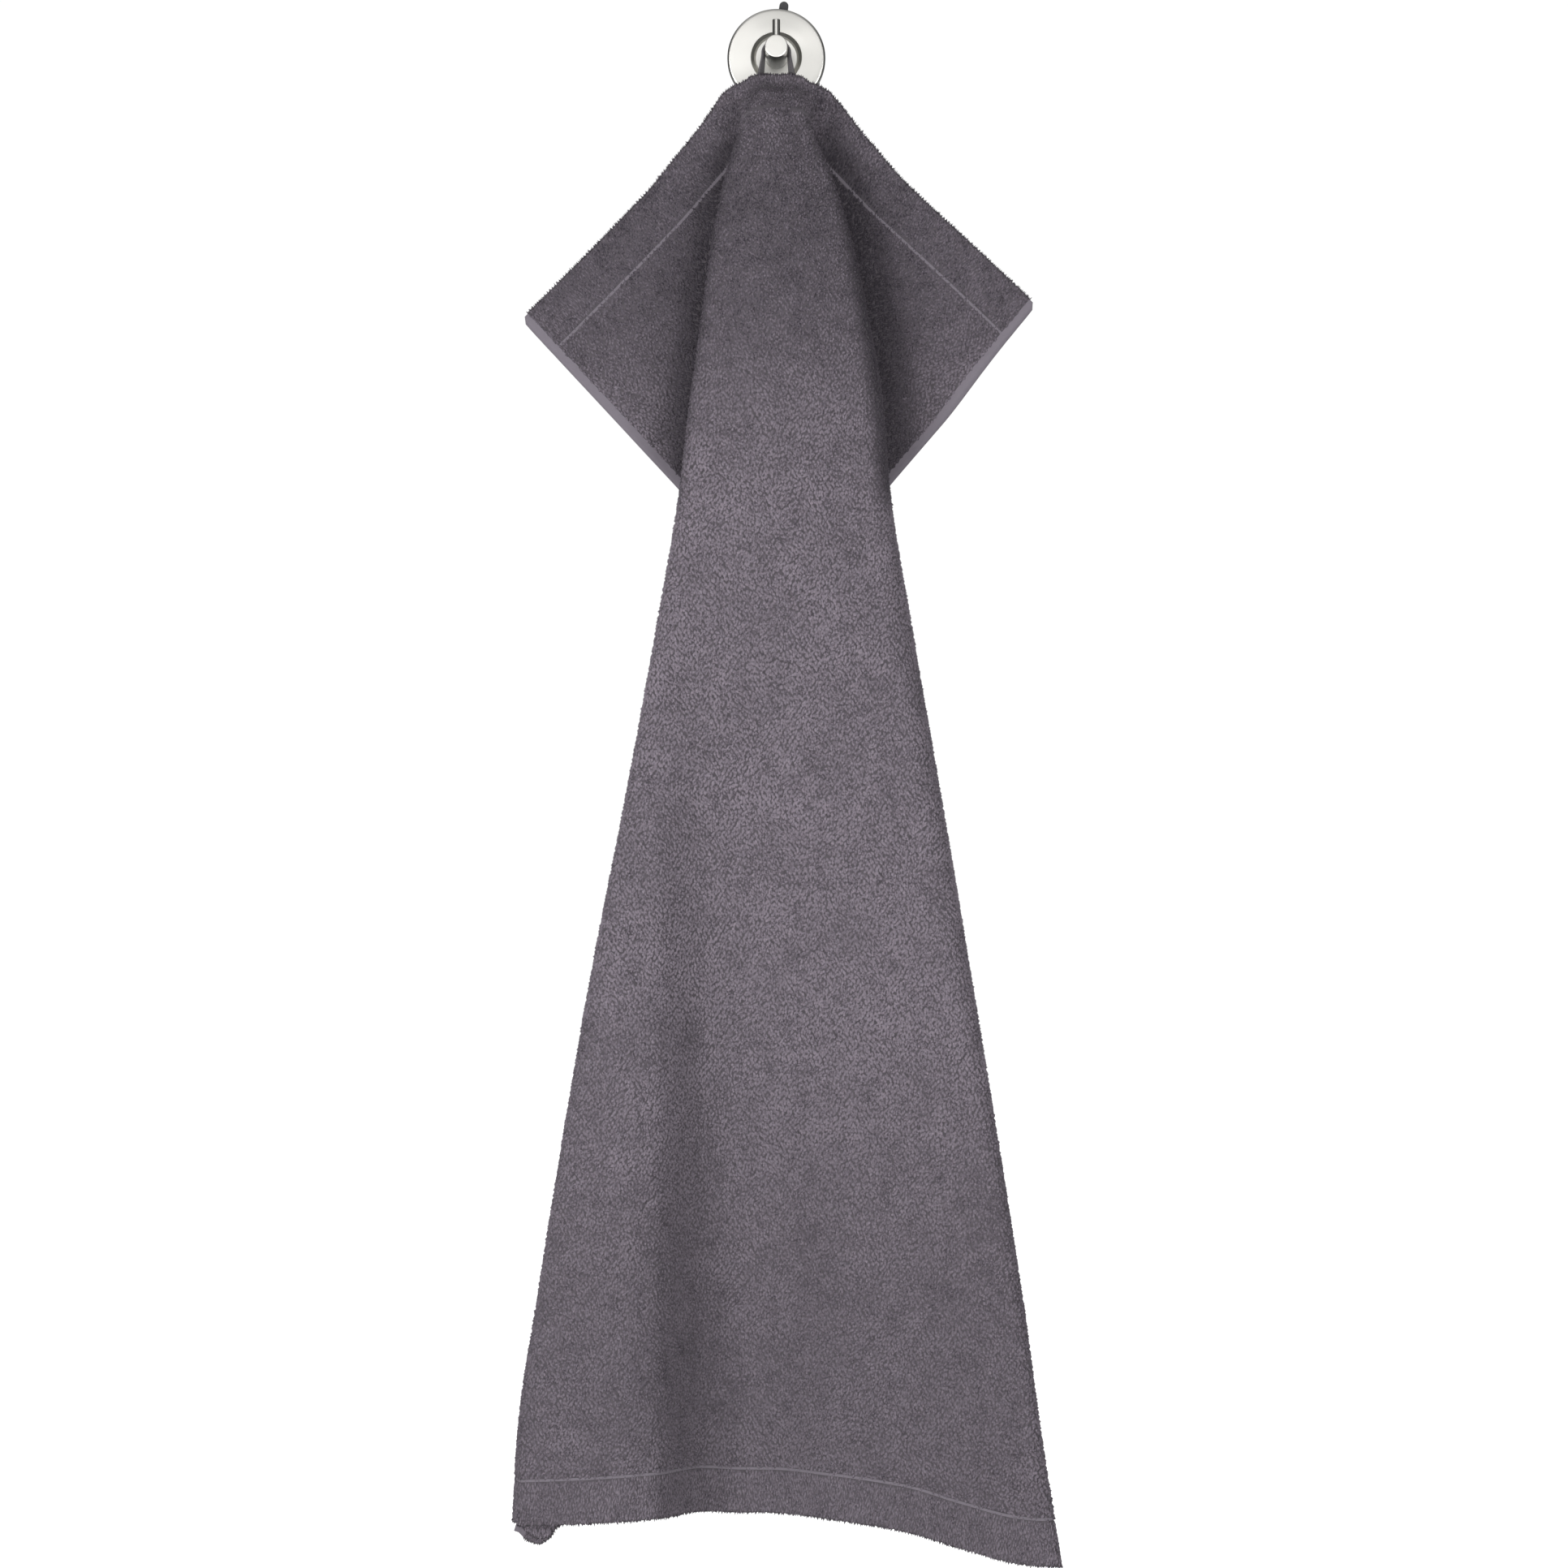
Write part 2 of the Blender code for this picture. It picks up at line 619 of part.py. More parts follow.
def tape_path():
    """Centre line of the tape with the direction of its width, from the left sewn end to the right one."""
    lift = CLOTH_THICKNESS / 2 + SEWN_GAP + TAPE_THICKNESS / 2
    wrap = PEG_RADIUS + GAP + TAPE_THICKNESS / 2
    strand = []
    for k in range(5):
        v = SEWN_LENGTH * (1 - k / 4) + 0.4
        here = cloth_point(-STRAND_X, v)
        below = cloth_point(-STRAND_X, v + 1.0)
        beside = cloth_point(-STRAND_X + 1.0, v)
        back = (beside - here).cross(below - here).normalized()
        if back.y < 0:
            back.negate()
        strand.append((here + back * lift, (beside - here).normalized()))
    foot, _ = strand[-1]
    top = Vector((-wrap, LOOP_Y, 0.0))
    rise = Vector((foot.x, foot.y, foot.z))
    lead = (foot - strand[-2][0]).normalized()
    for k in range(1, 10):
        t = k / 9
        h00, h10 = 2 * t ** 3 - 3 * t ** 2 + 1, t ** 3 - 2 * t ** 2 + t
        h01, h11 = 3 * t ** 2 - 2 * t ** 3, t ** 3 - t ** 2
        length = (top - rise).length
        place = rise * h00 + lead * length * h10 + top * h01 + Vector((0, 0, 1)) * length * h11
        angle = ease(0.0, 1.0, t) * math.pi / 2
        strand.append((place, Vector((math.cos(angle), math.sin(angle), 0.0))))
    for k in range(1, 9):
        angle = math.pi - math.pi / 2 * k / 8
        strand.append((Vector((wrap * math.cos(angle), LOOP_Y, wrap * math.sin(angle))), Vector((0, 1, 0))))
    mirrored = [(Vector((-p.x, p.y, p.z)), Vector((-w.x, w.y, w.z))) for p, w in strand[-2::-1]]
    return strand + mirrored


def make_loop(mat, parent):
    """The hanging tape, edge-on over the peg and a quarter turn round at the hem."""
    path = tape_path()
    bm = bmesh.new()
    rings = []
    for k, (place, width) in enumerate(path):
        before = path[max(k - 1, 0)][0]
        after = path[min(k + 1, len(path) - 1)][0]
        along = (after - before).normalized()
        width = (width - along * width.dot(along)).normalized()
        normal = along.cross(width).normalized()
        ring = []
        for a, b in ((1, 0.6), (0.9, 1), (-0.9, 1), (-1, 0.6), (-1, -0.6), (-0.9, -1), (0.9, -1), (1, -0.6)):
            corner = place + width * (a * TAPE_WIDTH / 2) + normal * (b * TAPE_THICKNESS / 2)
            ring.append(bm.verts.new(corner * MM))
        rings.append(ring)
    for a, b in zip(rings, rings[1:]):
        for k in range(8):
            m = (k + 1) % 8
            bm.faces.new((a[k], a[m], b[m], b[k]))
    bm.faces.new(rings[0][::-1])
    bm.faces.new(rings[-1])
    obj = add_object("hanger_loop", bm, mat, parent)
    split = obj.modifiers.new("triangles", "TRIANGULATE")
    split.quad_method = "SHORTEST_DIAGONAL"
    obj.data.shade_smooth()
    obj.data.set_sharp_from_angle(angle=math.radians(50))
    return obj


def main():
    for obj in list(bpy.data.objects):
        bpy.data.objects.remove(obj)
    root = bpy.data.objects.new("towel_on_hook", None)
    bpy.context.scene.collection.objects.link(root)
    terry = material("terry", (0.130, 0.115, 0.133), 0.95)
    tape = material("tape", (0.150, 0.135, 0.150), 0.9)
    steel = material("satin_steel", (0.62, 0.60, 0.57), 0.32, 1.0)
    bright = material("bright_steel", (0.70, 0.69, 0.67), 0.18, 1.0)
    rubber = material("rubber", (0.030, 0.030, 0.032), 0.6)
    make_cup(rubber, root)
    make_cover(steel, root)
    make_peg(steel, root)
    make_pin(bright, root)
    make_loop(tape, root)
    make_towel(terry, root)


main()
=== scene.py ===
"""Hand towel on a hook: terry cloth, tape loop and steel suction hook.

The tables and sizes are in millimetres. Meshes are in metres, in the model's own frame.
"""
import math

import bmesh
import bpy
import numpy as np
from bpy.props import FloatProperty, FloatVectorProperty, IntProperty, PointerProperty
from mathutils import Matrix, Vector


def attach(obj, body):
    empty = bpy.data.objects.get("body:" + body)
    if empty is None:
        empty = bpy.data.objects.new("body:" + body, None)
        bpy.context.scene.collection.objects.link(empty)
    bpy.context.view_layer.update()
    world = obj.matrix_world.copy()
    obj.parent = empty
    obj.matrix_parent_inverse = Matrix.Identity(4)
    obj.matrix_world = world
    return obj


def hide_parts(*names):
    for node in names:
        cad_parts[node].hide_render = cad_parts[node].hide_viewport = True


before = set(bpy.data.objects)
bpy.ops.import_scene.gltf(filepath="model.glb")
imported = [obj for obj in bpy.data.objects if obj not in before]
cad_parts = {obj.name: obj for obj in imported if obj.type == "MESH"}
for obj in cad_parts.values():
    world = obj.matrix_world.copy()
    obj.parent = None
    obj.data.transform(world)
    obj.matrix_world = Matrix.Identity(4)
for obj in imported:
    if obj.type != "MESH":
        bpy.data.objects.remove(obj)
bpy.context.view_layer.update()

bl_info = {
    "name": "Hand towel on a hook",
    "version": (1, 0, 0),
    "blender": (4, 5, 0),
    "location": "View3D > Sidebar > Towel",
    "description": "Makes a terry hand towel that hangs by its tape loop from a steel suction hook",
    "category": "Object",
}

MM = 0.001
BODY = "root"

# Flat cloth
TOWEL_WIDTH = 500.0
TOWEL_LENGTH = 1000.0
SELVEDGE_WIDTH = 6.4
LINE_START = 30.0
LINE_END = 31.8
TOP_EDGE_Z = -15.4
TOP_EDGE_Y = -24.6

# The folds fan out from a point a little above the middle of the top edge
APEX_RISE = 10.0
PLEATS_BEGIN = (12.0, 28.0)
PLAIN_RADIUS = 32.0
HIDDEN_RADIUS = 303.0
EASED_RADIUS = 600.0

PANEL_COLUMNS = ("radius", "front_y", "bulge", "centre_x")
PANEL_ROWS = (
    (32, -36.0, 3.0, 0),
    (42, -40.0, 5.0, 0),
    (60, -43.0, 6.0, 0),
    (85, -46.0, 6.5, 0),
    (130, -51.0, 6.5, 0),
    (190, -55.5, 6.5, 0),
    (250, -58.5, 6.0, 0),
    (303, -59.5, 5.0, 0),
    (413, -60.5, 3.0, 0),
    (527, -60.0, 0.0, 0),
    (640, -56.0, 0.0, -2),
    (753, -48.0, 0.0, -8),
    (866, -37.0, 0.0, -18),
    (956, -26.0, 0.0, -26),
    (1045, -17.0, 0.0, -32),
)
PLEAT_COLUMNS = ("radius", "fold_x", "fold_radius", "inner_x", "inner_radius", "inner_y", "wing_y")
LEFT_PLEAT = (
    (32, 20, 8.0, 20.0, 8.0, -24.0, -24.0),
    (42, 22, 6.0, 24.0, 6.0, -22.0, -22.0),
    (60, 26, 6.0, 21.0, 6.0, -19.5, -19.5),
    (85, 34, 6.0, 15.5, 6.0, -18.0, -17.5),
    (130, 43, 6.5, 6.5, 5.5, -23.0, -15.5),
    (190, 51, 6.0, -8.5, 4.5, -33.0, -14.0),
    (250, 59, 6.5, -24.5, 4.8, -35.5, -13.5),
    (303, 65, 7.0, -38.0, 5.0, -36.0, -13.5),
    (413, 83, 7.5, -30.0, 5.0, -36.0, -34.0),
    (527, 103, 8.0, -15.0, 5.0, -34.0, -34.0),
    (640, 124, 8.5, -8.0, 5.0, -30.0, -30.0),
    (753, 143, 9.0, 42.0, 5.5, -20.0, -20.0),
    (866, 161, 9.0, 96.0, 6.0, -7.0, -7.0),
    (956, 175, 9.0, 134.0, 7.0, 8.0, 8.0),
    (1045, 181, 9.0, 152.0, 7.5, 18.0, 18.0),
)
RIGHT_PLEAT = (
    (32, 20, 8.0, 20.0, 8.0, -24.0, -24.0),
    (42, 22, 6.0, 24.0, 6.0, -22.0, -22.0),
    (60, 26, 6.0, 21.0, 6.0, -19.5, -19.5),
    (85, 36, 6.0, 16.5, 6.0, -17.5, -17.5),
    (130, 50, 8.5, 15.5, 6.0, -15.5, -15.5),
    (190, 63, 13.0, 9.0, 5.0, -14.0, -14.0),
    (250, 73, 15.0, -3.5, 5.5, -13.5, -13.5),
    (303, 77, 15.0, -18.5, 5.5, -13.5, -13.5),
    (413, 94, 15.0, -15.0, 5.5, -13.5, -13.5),
    (527, 113, 15.0, -4.0, 5.5, -13.5, -13.5),
    (640, 131, 14.0, 4.0, 5.0, -13.5, -13.5),
    (753, 149, 13.0, 30.0, 5.0, -10.0, -10.0),
    (866, 166, 12.0, 50.0, 5.0, -2.0, -2.0),
    (956, 178, 10.0, 60.0, 5.0, 8.0, 8.0),
    (1045, 192, 8.0, 70.0, 5.0, 15.0, 15.0),
)

# How far each wing has swung in behind the panel, in degrees
GATHER_COLUMNS = ("radius", "left", "right")
GATHER_ROWS = (
    (32, 13.5, 13.5),
    (42, 18.0, 17.0),
    (55, 26.5, 22.8),
    (69, 32.3, 29.0),
    (89, 36.5, 34.0),
    (130, 40.8, 38.6),
    (192, 42.3, 39.9),
    (251, 42.9, 40.7),
)
RIGHT_TAKE_UP = 4.5
TAKE_UP_FROM_SHARE = 0.45
TAKE_UP_BEGINS = (35.0, 55.0)
TAKE_UP_ENDS = (247.0, 275.0)

# Soft troughs and ridges of the lower panel, across the hem
HEM_COLUMNS = ("x", "forward", "drop")
HEM_ROWS = (
    (-190, 36.0, -7.0),
    (-150, 45.0, -9.6),
    (-105, 53.0, -13.4),
    (-84, 49.0, -14.8),
    (-50, 8.0, -12.0),
    (-28, 0.0, -10.0),
    (0, 7.0, -12.0),
    (42, 34.0, -14.0),
    (85, 46.0, -11.0),
    (125, 62.0, -4.0),
    (165, 80.0, 1.0),
    (195, 94.0, -1.0),
)
RIPPLE_START = 330.0
RIPPLE_END = 1010.0

# The flap behind the left fold curls at the hem: distance left of the middle and drop of its edge
FLAP_COLUMNS = ("x", "drop")
FLAP_ROWS = (
    (143, -7.0),
    (150, -6.5),
    (156, 2.0),
    (164, 5.5),
    (172, 3.0),
    (180, -4.0),
    (186, -5.0),
)
FLAP_TURN = 16.0
FLAP_CURLS = (935.0, 1012.0)

FRONT_SAMPLES = 60
TURN_SAMPLES = 31
LEG_SAMPLES = 28
WING_SAMPLES = 120
WING_REACH = 260.0
WING_SLOPE = 38.0
LATTICE_COLUMNS = 154
LATTICE_ROWS = 204
END_ROWS = (0.0, 1.0, 3.5, 6.0, 9.0, 12.0, 15.0, 18.0, 21.0, 24.0, 27.0, 29.0, LINE_START, LINE_END, 33.5)
PAST_OWN_FOLD = 4.0
PAST_OTHER_FOLD = 8.0

# Loops: half length and half width, scatter of their direction in radians, and share of the pile's height.
# The back's and borders' are led by their distance apart across and down.
FRONT_ROW_PITCH = 2.55
FRONT_LOOPS = ((1.8, 1.1), 0.35, 1.0)
BACK_LOOPS = ((2.3, 3.3), (2.7, 1.6), 0.35, 1.0)
BORDER_LOOPS = ((1.1, 3.0), (2.4, 0.72), 0.08, 0.6)

# Shade of the loops at their roots and tips: the darker roots are painted shade between the loops
MAIN_TONES = (0.56, 0.76)
BORDER_TONES = (0.54, 0.82)
TIP_SCATTER = 0.12

# How much of a dark place's shade the loops take at their roots and tips
ROOT_SHADOW = 1.15
TIP_SHADOW = 0.80

# Painted shade in the gaps between the loops: cells to the metre, range of the noise and shades at its ends
GAP_SCALE = (900.0, 900.0, 620.0)
GAP_RANGE = (0.33, 0.51)
GAP_TONES = (0.1, 1.08)
CLUMP_SCALE = 85.0
CLUMP_SHARE = 0.25
# More painted shade in the gaps towards the top
GAP_SHADE_TOP = (-260.0, -80.0)
GAP_SHADE_TOP_SHARE = 0.075
TINT_SCALE = 420.0
COOL_TINT = (0.96, 0.98, 1.03)
WARM_TINT = (1.05, 1.0, 1.02)
FIBRE_SCALE = 2600.0
STAIN_SCALE = 190.0
WEAVE_PITCHES = (0.9, 0.75)
TAPE_PITCHES = (0.75, 1.1)

# The flat line is covered by pile this near to the middle of the gathered top
LINE_COVERED = (28.0, 55.0)
LINE_SHARE = 0.85

# Distance between the teeth of fuzz along the hems
TOOTH_PITCH = 2.4

# Painted shadow in each wing beside the panel, where the panel shades it
PANEL_SHADOW_WIDTH = {"left": (3.0, 24.0), "right": (6.0, 38.0)}
PANEL_SHADOW_BEGINS = (45.0, 80.0)
PANEL_SHADOW_ENDS = (300.0, 330.0)
PANEL_SHADOW_SHADE = 0.80

# Heights between which painted shade darkens the loops, where less light falls: below the gathered top, and
# down to the hem
TOP_DARKENS = (-330.0, -160.0)
TOP_CLEARS = (-110.0, -50.0)
TOP_SHADE = 0.45
HEM_DARKENS = (560.0, 900.0)
HEM_SHADE = 0.28

# Small unevenness of the hanging cloth: size of each swell and its height
SWELLS = ((42.0, 1.0), (16.0, 0.5))
SWELLS_BEGIN = (110.0, 260.0)

# Places where the cloth is raised or dented, with painted highlight where raised and painted shade where
# dented: x, z, half width, half height and lift
RELIEF_AND_LIGHT_PLACES = (
    (13, -62, 10, 15, -0.34),
    (-22, -66, 8, 14, -0.14),
    (-3, -64, 5, 12, 0.12),
    (4, -132, 10, 50, -0.15),
    (-18, -128, 8, 30, 0.08),
    (49, -440, 20, 12, -0.08),
    (-75, -453, 18, 5, -0.26),
    (43, -481, 14, 10, -0.14),
    (84, -390, 10, 60, -0.14),
    (95, -446, 8, 20, -0.14),
    (104, -500, 8, 20, -0.14),
    (-89, -563, 6, 6, -0.18),
    (112, -577, 9, 25, -0.22),
    (46, -577, 30, 70, 0.10),
    (-111, -594, 8, 10, -0.18),
    (131, -682, 7, 12, -0.28),
    (104, -698, 16, 16, -0.22),
    (-119, -723, 9, 6, -0.18),
    (-45, -770, 14, 70, -0.12),
    (131, -786, 16, 30, -0.16),
    (-147, -816, 5, 12, -0.18),
    (95, -830, 14, 18, -0.14),
    (-58, -841, 24, 70, -0.14),
    (117, -849, 10, 8, -0.18),
    (135, -885, 14, 14, 0.12),
    (-42, -929, 28, 26, -0.14),
    (-166, -935, 6, 14, -0.22),
    (-146, -940, 16, 24, 0.12),
    (43, -954, 14, 7, -0.26),
    (101, -976, 14, 6, -0.30),
    (137, -978, 9, 6, -0.30),
    (-127, -203, 14, 16, -0.26),
    (-74, -141, 12, 12, -0.16),
    (-116, -169, 10, 10, 0.08),
    (-65, -85, 16, 10, 0.10),
    (80, -147, 18, 18, -0.12),
    (103, -214, 20, 20, 0.08),
)
# How far the cloth is dented or raised for each unit of lift, and how much painted shade and highlight the
# loops take from it
RELIEF_DEPTH = 3.5
RELIEF_PAINTED_LIGHT = 2.4

# Hook
COVER_RADIUS = 34.0
COVER_BACK_Y = -2.4
COVER_FACE_Y = -8.9
COVER_CROWN_Y = -9.5
COVER_WALL = 1.2
RECESS_RADIUS = 17.4
RECESS_FLOOR_RADIUS = 14.6
RECESS_FLOOR_Y = -7.0
PEG_RADIUS = 7.7
PEG_TIP_Y = -45.3
PIN_RADIUS = 2.65
PIN_Y = -38.0
PIN_TOP_Z = 19.5
GAP = 0.3
CUP_RADIUS = 33.0
CUP_PLATE = 2.0
TAB_WIDTH = 6.3
TAB_REACH = 40.8
TAB_TURN = math.radians(8.0)

# Turning marks of the steel, and its painted shade, reflections and highlights, by height or by distance from
# the axis
RING_SCALE = 4200.0
# Number of painted highlight sectors round the cover
HIGHLIGHT_SECTOR_COUNT = 3.0
# Heights over which the cover turns darker towards its top, a painted reflection
COVER_TOP_REFLECTION = (28.0, -12.0)
# Recess wall and rolled rim darkened as painted reflection
WALL_RADIUS = 16.5
WALL_REACH = 1.1
WALL_CLEARS = (-9.0, -1.0)
RIM_RADII = (32.4, 33.3)
RIM_DARKENS = (30.0, 8.0)
# Heights of the painted shade under the peg, and distances of the pin's sides darkened as painted reflection
PEG_UNDERSIDE = (-1.0, -7.2)
PIN_SIDES = (1.0, 1.8)
RUBBER_SCALE = 900.0

# Stage, in metres
FLOOR_HALF_SIZE = 9.0
FLOOR_GLOW = 0.9
BACKDROP = 1.02
CAMERA_PLACE = (0.0053, -2.300, -0.5034)
CAMERA_LENS = 75.93
CAMERA_SENSOR = 36.0

# Hanging tape
TAPE_WIDTH = 5.6
TAPE_THICKNESS = 1.5
STRAND_X = 10.8
LOOP_Y = -23.0
SEWN_LENGTH = 11.0
SEWN_LIFT = 3.15
FOOT_TURN = math.radians(50.0)
PEG_TURN = math.radians(72.0)
SEWN_POINTS = 9
STRAND_STEPS = 18
WRAP_STEPS = 16


# Reading the tables


def columns(names, rows):
    """Gives a table's columns by name."""
    return dict(zip(names, np.array(rows, dtype=float).T))


PANEL = columns(PANEL_COLUMNS, PANEL_ROWS)
GATHER = columns(GATHER_COLUMNS, GATHER_ROWS)
HEM = columns(HEM_COLUMNS, HEM_ROWS)
FLAP = columns(FLAP_COLUMNS, FLAP_ROWS)
PLEATS = {
    "left": columns(PLEAT_COLUMNS, LEFT_PLEAT),
    "right": columns(PLEAT_COLUMNS, RIGHT_PLEAT),
}


def smooth(table, x_name, y_name, x):
    """Reads a column of a table at any x, along a smooth curve that never overshoots its points."""
    xs = table[x_name]
    ys = table[y_name]
    gaps = np.diff(xs)
    rises = np.diff(ys) / gaps
    m = np.zeros_like(ys)
    m[0], m[-1] = rises[0], rises[-1]
    same = rises[:-1] * rises[1:] > 0
    w1 = 2 * gaps[1:] + gaps[:-1]
    w2 = gaps[1:] + 2 * gaps[:-1]
    before = np.where(same, rises[:-1], 1.0)
    after = np.where(same, rises[1:], 1.0)
    m[1:-1] = np.where(same, (w1 + w2) / (w1 / before + w2 / after), 0.0)
    x = np.clip(x, xs[0], xs[-1])
    i = np.clip(np.searchsorted(xs, x) - 1, 0, len(xs) - 2)
    h = gaps[i]
    t = (x - xs[i]) / h
    t2 = t * t
    t3 = t2 * t
    start = (2 * t3 - 3 * t2 + 1) * ys[i] + (t3 - 2 * t2 + t) * h * m[i]
    return start + (3 * t2 - 2 * t3) * ys[i + 1] + (t3 - t2) * h * m[i + 1]


def ease(a, b, x):
    """Rises smoothly from 0 at a to 1 at b."""
    t = np.clip((x - a) / (b - a), 0.0, 1.0)
    return t * t * (3 - 2 * t)


def mottle(u, v, cell, seed):
    """Smooth random field over the flat cloth, about -1 to 1, with patches of the given size."""
    lattice = np.random.default_rng(seed).uniform(-1.0, 1.0, (97, 89))
    a = (u + 2000.0) / cell
    b = (v + 2000.0) / cell
    i = np.floor(a).astype(int)
    j = np.floor(b).astype(int)
    fa = a - i
    fb = b - j
    fa = fa * fa * (3 - 2 * fa)
    fb = fb * fb * (3 - 2 * fb)

    def at(di, dj):
        return lattice[(i + di) % 97, (j + dj) % 89]

    near = at(0, 0) * (1 - fa) + at(1, 0) * fa
    far = at(0, 1) * (1 - fa) + at(1, 1) * fa
    return near * (1 - fb) + far * fb


# The hanging cloth


def edge_angle(r):
    """Angle of the cloth's edge about the apex, on the flat cloth."""
    half = TOWEL_WIDTH / 2
    top = np.arccos(np.clip(APEX_RISE / r, -1.0, 1.0))
    side = np.arcsin(np.clip(half / r, -1.0, 1.0))
    return np.where(r < math.hypot(half, APEX_RISE), top, side)


def run_lengths(x, y):
    """Distance along a section at each of its samples."""
    return np.concatenate(((0.0,), np.cumsum(np.hypot(np.diff(x), np.diff(y)))))


def pleat_path(r, side):
    """Section of one half of the cloth at distance r from the apex, as fine samples.

    It runs from the middle of the panel round the outer fold, back in to the inner fold
    and out along the wing.
    """
    at = max(r, PLAIN_RADIUS)
    scale = r * float(edge_angle(r)) / (at * float(edge_angle(at)))
    row = {name: float(smooth(PLEATS[side], "radius", name, at)) for name in PLEAT_COLUMNS[1:]}
    panel = {name: float(smooth(PANEL, "radius", name, at)) for name in PANEL_COLUMNS[1:]}
    sign = -1.0 if side == "left" else 1.0
    r1, r2 = row["fold_radius"], row["inner_radius"]
    c1 = Vector((row["fold_x"] - r1, panel["front_y"] + r1))
    c2 = Vector((row["inner_x"] + r2, row["inner_y"] - r2))
    d = c2 - c1
    straight = math.sqrt(max(d.length_squared - (r1 + r2) ** 2, 0.01))
    a = np.linspace(0.0, math.atan2(d.y, d.x) + math.atan2(r1 + r2, straight), TURN_SAMPLES)
    front = np.linspace(sign * panel["centre_x"], c1.x, FRONT_SAMPLES)
    fold_x = c1.x + r1 * np.sin(a)
    fold_y = c1.y - r1 * np.cos(a)
    inner_x = c2.x - r2 * np.sin(a[::-1])
    inner_y = c2.y + r2 * np.cos(a[::-1])
    leg = np.linspace(0.0, 1.0, LEG_SAMPLES + 2)[1:-1]
    leg_x = fold_x[-1] + (inner_x[0] - fold_x[-1]) * leg
    leg_y = fold_y[-1] + (inner_y[0] - fold_y[-1]) * leg
    wing = np.linspace(c2.x, c2.x + WING_REACH, WING_SAMPLES + 1)[1:]
    other_fold = -float(smooth(PLEATS["right"], "radius", "inner_x", at))
    past = max(c2.x + PAST_OWN_FOLD, other_fold + PAST_OTHER_FOLD)
    level = row["inner_y"] + (row["wing_y"] - row["inner_y"]) * ease(past, past + WING_SLOPE, wing)
    x = np.concatenate((front, fold_x[1:], leg_x, inner_x, wing))
    y = np.concatenate((np.full(FRONT_SAMPLES, panel["front_y"]), fold_y[1:], leg_y, inner_y, level))
    y -= panel["bulge"] * np.clip(1 - (x / row["fold_x"]) ** 2, 0.0, 1.0) ** 2
    if r < PLAIN_RADIUS:
        folded = ease(*PLEATS_BEGIN, r)
        unfolded = run_lengths(x, y)
        x = (unfolded + (x - unfolded) * folded) * scale
        y = TOP_EDGE_Y + (y - TOP_EDGE_Y) * scale * folded
    y = y - smooth(HEM, "x", "forward", sign * x) * ease(RIPPLE_START, RIPPLE_END, r)
    return x, y


def easing(r, side):
    """How much of its length the cloth behind the panel takes up in the section at distance r."""
    at = min(max(r, PLAIN_RADIUS), HIDDEN_RADIUS)
    x, y = pleat_path(at, side)
    length = run_lengths(x, y)
    front = length[FRONT_SAMPLES - 1]
    gather = math.radians(float(smooth(GATHER, "radius", side, at)))
    angle = float(edge_angle(at))
    end = np.interp(at * (angle - gather), x[-WING_SAMPLES:], length[-WING_SAMPLES:])
    factor = (end - front) / (at * angle - front)
    return factor + (1.0 - factor) * ease(HIDDEN_RADIUS, EASED_RADIUS, r)


FOLD_RADII = np.concatenate((
    np.linspace(APEX_RISE, 70.0, 90, endpoint=False),
    np.linspace(70.0, 360.0, 150, endpoint=False),
    np.linspace(360.0, 1060.0, 140),
))
FOLD_SHARES = np.linspace(0.0, 1.0, 641)


def fold_tables():
    """Distance across, depth, how far behind the front and how strong the painted shadow beside the panel is.

    Each is a table by side, radius and share of the cloth's half width.
    """
    tables = np.zeros((4, 2, len(FOLD_RADII), len(FOLD_SHARES)))
    for k, side in enumerate(("left", "right")):
        for i, r in enumerate(FOLD_RADII):
            x, y = pleat_path(r, side)
            length = run_lengths(x, y)
            front = length[FRONT_SAMPLES - 1]
            cloth = np.where(length < front, length, front + (length - front) / easing(r, side))
            s = FOLD_SHARES * r * edge_angle(r)
            tables[0, k, i] = np.interp(s, cloth, x)
            tables[1, k, i] = np.interp(s, cloth, y)
            tables[2, k, i] = ease(front, front + FLAP_TURN, s)
            beside = tables[0, k, i] - smooth(PLEATS[side], "radius", "fold_x", r)
            # Painted shadow: the wing is darker next to the panel's fold edge, where the panel shades it
            panel_shadow = (1.0 - ease(*PANEL_SHADOW_WIDTH[side], beside)) * tables[2, k, i]
            tables[3, k, i] = panel_shadow * ease(*PANEL_SHADOW_BEGINS, r) * (1.0 - ease(*PANEL_SHADOW_ENDS, r))
    return tables


FOLDS = fold_tables()


def fold_reader(u, v):
    """Reader of the fold tables at arrays of points of the flat cloth, with their radius, share and side."""
    r = np.hypot(u, v + APEX_RISE)
    limit = np.maximum(edge_angle(r), 1e-6)
    share = np.clip(np.arctan2(np.abs(u), v + APEX_RISE) / limit, 0.0, 1.0)
    row = np.interp(r, FOLD_RADII, np.arange(len(FOLD_RADII)))
    i = np.minimum(row.astype(int), len(FOLD_RADII) - 2)
    fi = row - i
    column = share * (len(FOLD_SHARES) - 1)
    j = np.minimum(column.astype(int), len(FOLD_SHARES) - 2)
    fj = column - j
    k = (u >= 0).astype(int)

    def read(table):
        above = table[k, i, j] * (1 - fj) + table[k, i, j + 1] * fj
        below = table[k, i + 1, j] * (1 - fj) + table[k, i + 1, j + 1] * fj
        return above * (1 - fi) + below * fi

    return read, r, share, k


